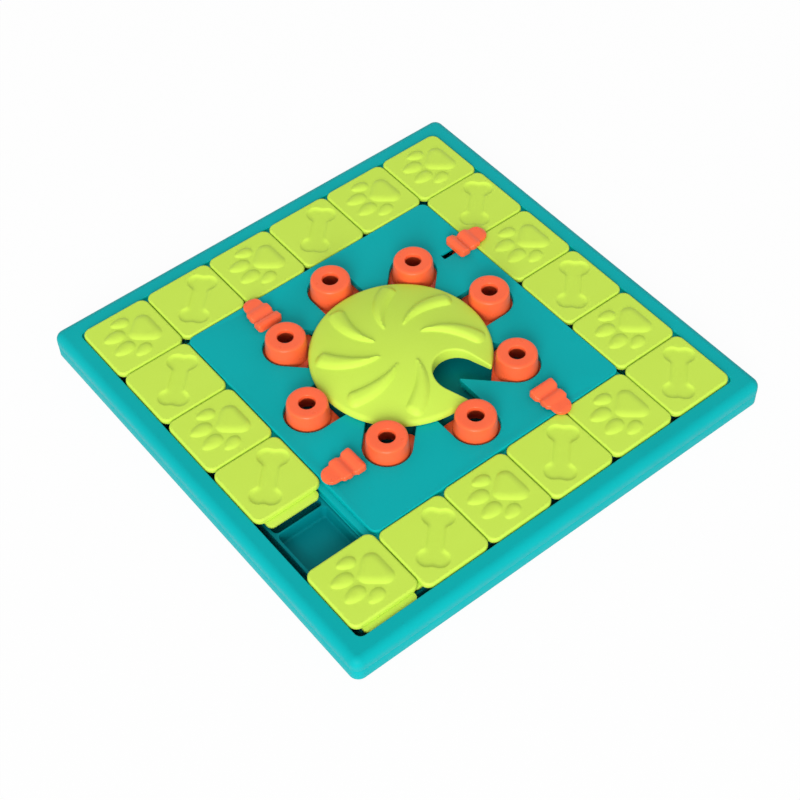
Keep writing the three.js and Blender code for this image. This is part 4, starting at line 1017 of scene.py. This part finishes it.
def case_screw():
    return screw(SCREW_SEAT, SCREW_SEAT - 2.0, head_radius=3.2, edge=0.7,
                 cross=(0.42, 1.75, 0.12, 0.06), deep=1.2, shank=1.4, core=1.15,
                 start=SCREW_SEAT + 0.9, threads=8, point=(0.3, SCREW_SEAT + 13.0))


def axle_screw():
    return screw(12.2, 9.6, head_radius=4.2, edge=0.9, cross=(0.5, 2.2, 0.14, 0.08), deep=1.5,
                 shank=2.0, core=1.7, start=14.2, threads=7, point=(1.2, 24.8))


def rubber_foot():
    shell = Shell()
    face, barb = shell.spin(
        48, (1.0, 0.25), (2.4, 0.0), (4.2, 0.0), (4.6, 0.25), (5.2, 0.25), (5.6, 0.0), (8.4, 0.0),
        (8.8, 0.15), (9.0, 0.5), (9.0, 0.9), (8.8, 1.1), (4.0, 1.1), (4.0, 3.7), (5.1, 3.75),
        (5.1, 4.0), (2.9, 5.5))
    shell.cap(face)
    shell.cap(barb)
    return shell


def washer():
    shell = Shell()
    rim, bore = circle(7.0, 64), circle(AXLE_HOLE, 64)
    low, high = 12.5, 13.7
    first, last = shell.walk(
        (rim, low + 0.15), (rim, high - 0.15), (inset(rim, 0.15), high), (inset(bore, -0.1), high),
        (bore, high - 0.1), (bore, low + 0.1), (inset(bore, -0.1), low), (inset(rim, 0.15), low))
    shell.bridge(last, first)
    return shell


# Assembly
FREE_PLACE = 5
CORNER_TILE, CORNER_SHIFT = 6, -6.0
BONES = {2, 4, 7, 9, 11, 13, 15, 18, 20}
LOCKER_REACHES = (99.5, 109.5, 93.5, 93.5)


def place_case():
    single("case_bottom", bottom_tray(), TEAL, "case", "bottom_tray")
    single("case_frame", top_frame(), TEAL, "case", "top_frame")
    single("deck", deck_plate(), TEAL, "case", "deck_plate")
    long = well_tray(0, 3).mesh("well_tray", DEEP_TEAL)
    short = well_tray(3, 5).mesh("well_pair", DEEP_TEAL)
    for k in range(1, 5):
        turn = (k - 1) * QUARTER
        piece(f"long_wells_{k}", long, "case", [f"well_tray_{k}"], turn=turn)
        piece(f"short_wells_{k}", short, "case", [f"well_pair_{k}"], turn=turn)
    single("star_bed", star_tray(), DEEP_TEAL, "case", "star_tray")
    foot = rubber_foot().mesh("rubber_foot", RUBBER)
    for k, (x, y) in enumerate(FEET, 1):
        piece(f"foot_button_{k}", foot, "case", [f"foot_{k}"], x, y)
    screw_mesh = case_screw().mesh("case_screw", STEEL)
    for name, node, places, turn in (("border_screw", "rim_screw", RIM_SCREWS, 0.4),
                                     ("plate_screw", "deck_screw", DECK_SCREWS, 0.7)):
        for k, (x, y) in enumerate(places, 1):
            piece(f"{name}_{k}", screw_mesh, "case", [f"{node}_{k}"], x, y,
                  turn * (k - 1))


def place_wheel():
    single("ribbed_wheel", wheel(), LIME, "wheel_body", "wheel")
    single("axle_bolt", axle_screw(), STEEL, "wheel_body", "axle_screw")
    single("axle_ring", washer(), STEEL, "wheel_body", "axle_washer")


def place_pegs():
    mesh = peg().mesh("peg", ORANGE)
    for k in range(1, 9):
        turn = (k - 1) * EIGHTH
        x, y = spot(PEG_RING, 0.0, turn)
        piece(f"sliding_peg_{k}", mesh, f"peg_body_{k}", [f"peg_{k}"], x, y, turn)


def place_lockers():
    body = locker().mesh("locker", ORANGE)
    plate = keeper().mesh("keeper", ORANGE)
    for k, reach in enumerate(LOCKER_REACHES, 1):
        turn = (k - 1) * QUARTER
        x, y = spot(reach, LOCKER_SIDE, turn)
        for name, mesh, node in (("thumb_locker", body, "locker"),
                                 ("keeper_plate", plate, "locker_keeper")):
            piece(f"{name}_{k}", mesh, f"locker_body_{k}", [f"{node}_{k}"],
                  x, y, turn)


def place_tiles():
    meshes = {kind: tile(kind).mesh(f"tile_{kind}", LIME) for kind in ("paw", "bone")}
    for number in range(1, 21):
        if number == FREE_PLACE:
            continue
        side, k = divmod(number - 1, 5)
        x, y = spot(k * PLACE - TRACK, -TRACK, side * QUARTER)
        if number == CORNER_TILE:
            x += CORNER_SHIFT
        kind = "bone" if number in BONES else "paw"
        piece(f"{kind}_tile_{number}", meshes[kind], f"tile_body_{number}",
              [f"tile_{kind}_{number}"], x, y)


# Camera, floor and light: all in metres
FLOOR_HALF = 4.0
FLOOR_GLOW = 0.955
SOFT_LIGHT = 0.6
LAMP_DISTANCE = 7.0


def place_camera():
    data = bpy.data.cameras.new("camera")
    data.sensor_width = 36.0
    data.lens = 78.372
    camera = linked("camera", data)
    right = (0.62325, 0.78163, -0.02479)
    up = (-0.59648, 0.49565, 0.63130)
    back = (0.50572, -0.37868, 0.77515)
    axes = Matrix((right, up, back)).transposed().to_4x4()
    camera.matrix_world = Matrix.Translation((0.75000, -0.56431, 1.12013)) @ axes
    bpy.context.scene.camera = camera


def plain_rays(nodes):
    """One for rays that show the background: straight, mirrored or passed through."""
    path = nodes.tree.nodes.new("ShaderNodeLightPath").outputs
    return nodes.math("MAXIMUM", path["Is Camera Ray"],
                      nodes.math("MAXIMUM", path["Is Glossy Ray"], path["Is Transmission Ray"]))


def place_floor():
    material = bpy.data.materials.new("floor")
    nodes = Nodes(material)
    lit = nodes.new("ShaderNodeBsdfDiffuse", Color=(0.82, 0.82, 0.82, 1))
    glow = nodes.new("ShaderNodeEmission", Color=(1, 1, 1, 1), Strength=1.0)
    share = nodes.math("MULTIPLY", plain_rays(nodes), FLOOR_GLOW)
    mixed = nodes.blend(share, lit.outputs["BSDF"], glow.outputs["Emission"])
    nodes.new("ShaderNodeOutputMaterial", Surface=mixed)
    mesh = bpy.data.meshes.new("floor")
    corners = [(-1, -1), (1, -1), (1, 1), (-1, 1)]
    mesh.from_pydata([(x * FLOOR_HALF, y * FLOOR_HALF, 0) for x, y in corners], [], [(0, 1, 2, 3)])
    mesh.materials.append(material)
    floor = linked("floor", mesh)


def place_world():
    world = bpy.data.worlds.new("world")
    bpy.context.scene.world = world
    nodes = Nodes(world)
    soft = nodes.new("ShaderNodeBackground", Color=(1, 1, 1, 1), Strength=SOFT_LIGHT)
    plain = nodes.new("ShaderNodeBackground", Color=(1, 1, 1, 1), Strength=1.0)
    mixed = nodes.blend(plain_rays(nodes), soft.outputs[0], plain.outputs[0])
    nodes.new("ShaderNodeOutputWorld", Surface=mixed)


def lamp(name, azimuth, elevation, size, power, mirrored):
    """Square area light that faces the board; azimuth 0 stands at -Y, 90 at +X.

    Only a mirrored lamp shows in glossy surfaces.
    """
    data = bpy.data.lights.new(name, "AREA")
    data.shape = "SQUARE"
    data.size = size
    data.energy = power
    turn, rise = math.radians(azimuth), math.radians(elevation)
    flat = math.cos(rise)
    way = Vector((math.sin(turn) * flat, -math.cos(turn) * flat, math.sin(rise)))
    light = linked(name, data)
    light.location = way * LAMP_DISTANCE
    light.visible_glossy = mirrored
    light.rotation_euler = way.to_track_quat("Z", "Y").to_euler()


def place_lights():
    lamp("key", azimuth=47, elevation=24, size=3.6, power=225, mirrored=True)
    lamp("soft_key", azimuth=44, elevation=25, size=4.6, power=265, mirrored=False)


place_camera()
place_world()
place_floor()
place_lights()
place_case()
place_wheel()
place_pegs()
place_lockers()
place_tiles()

bpy.context.scene.view_settings.view_transform = "Standard"
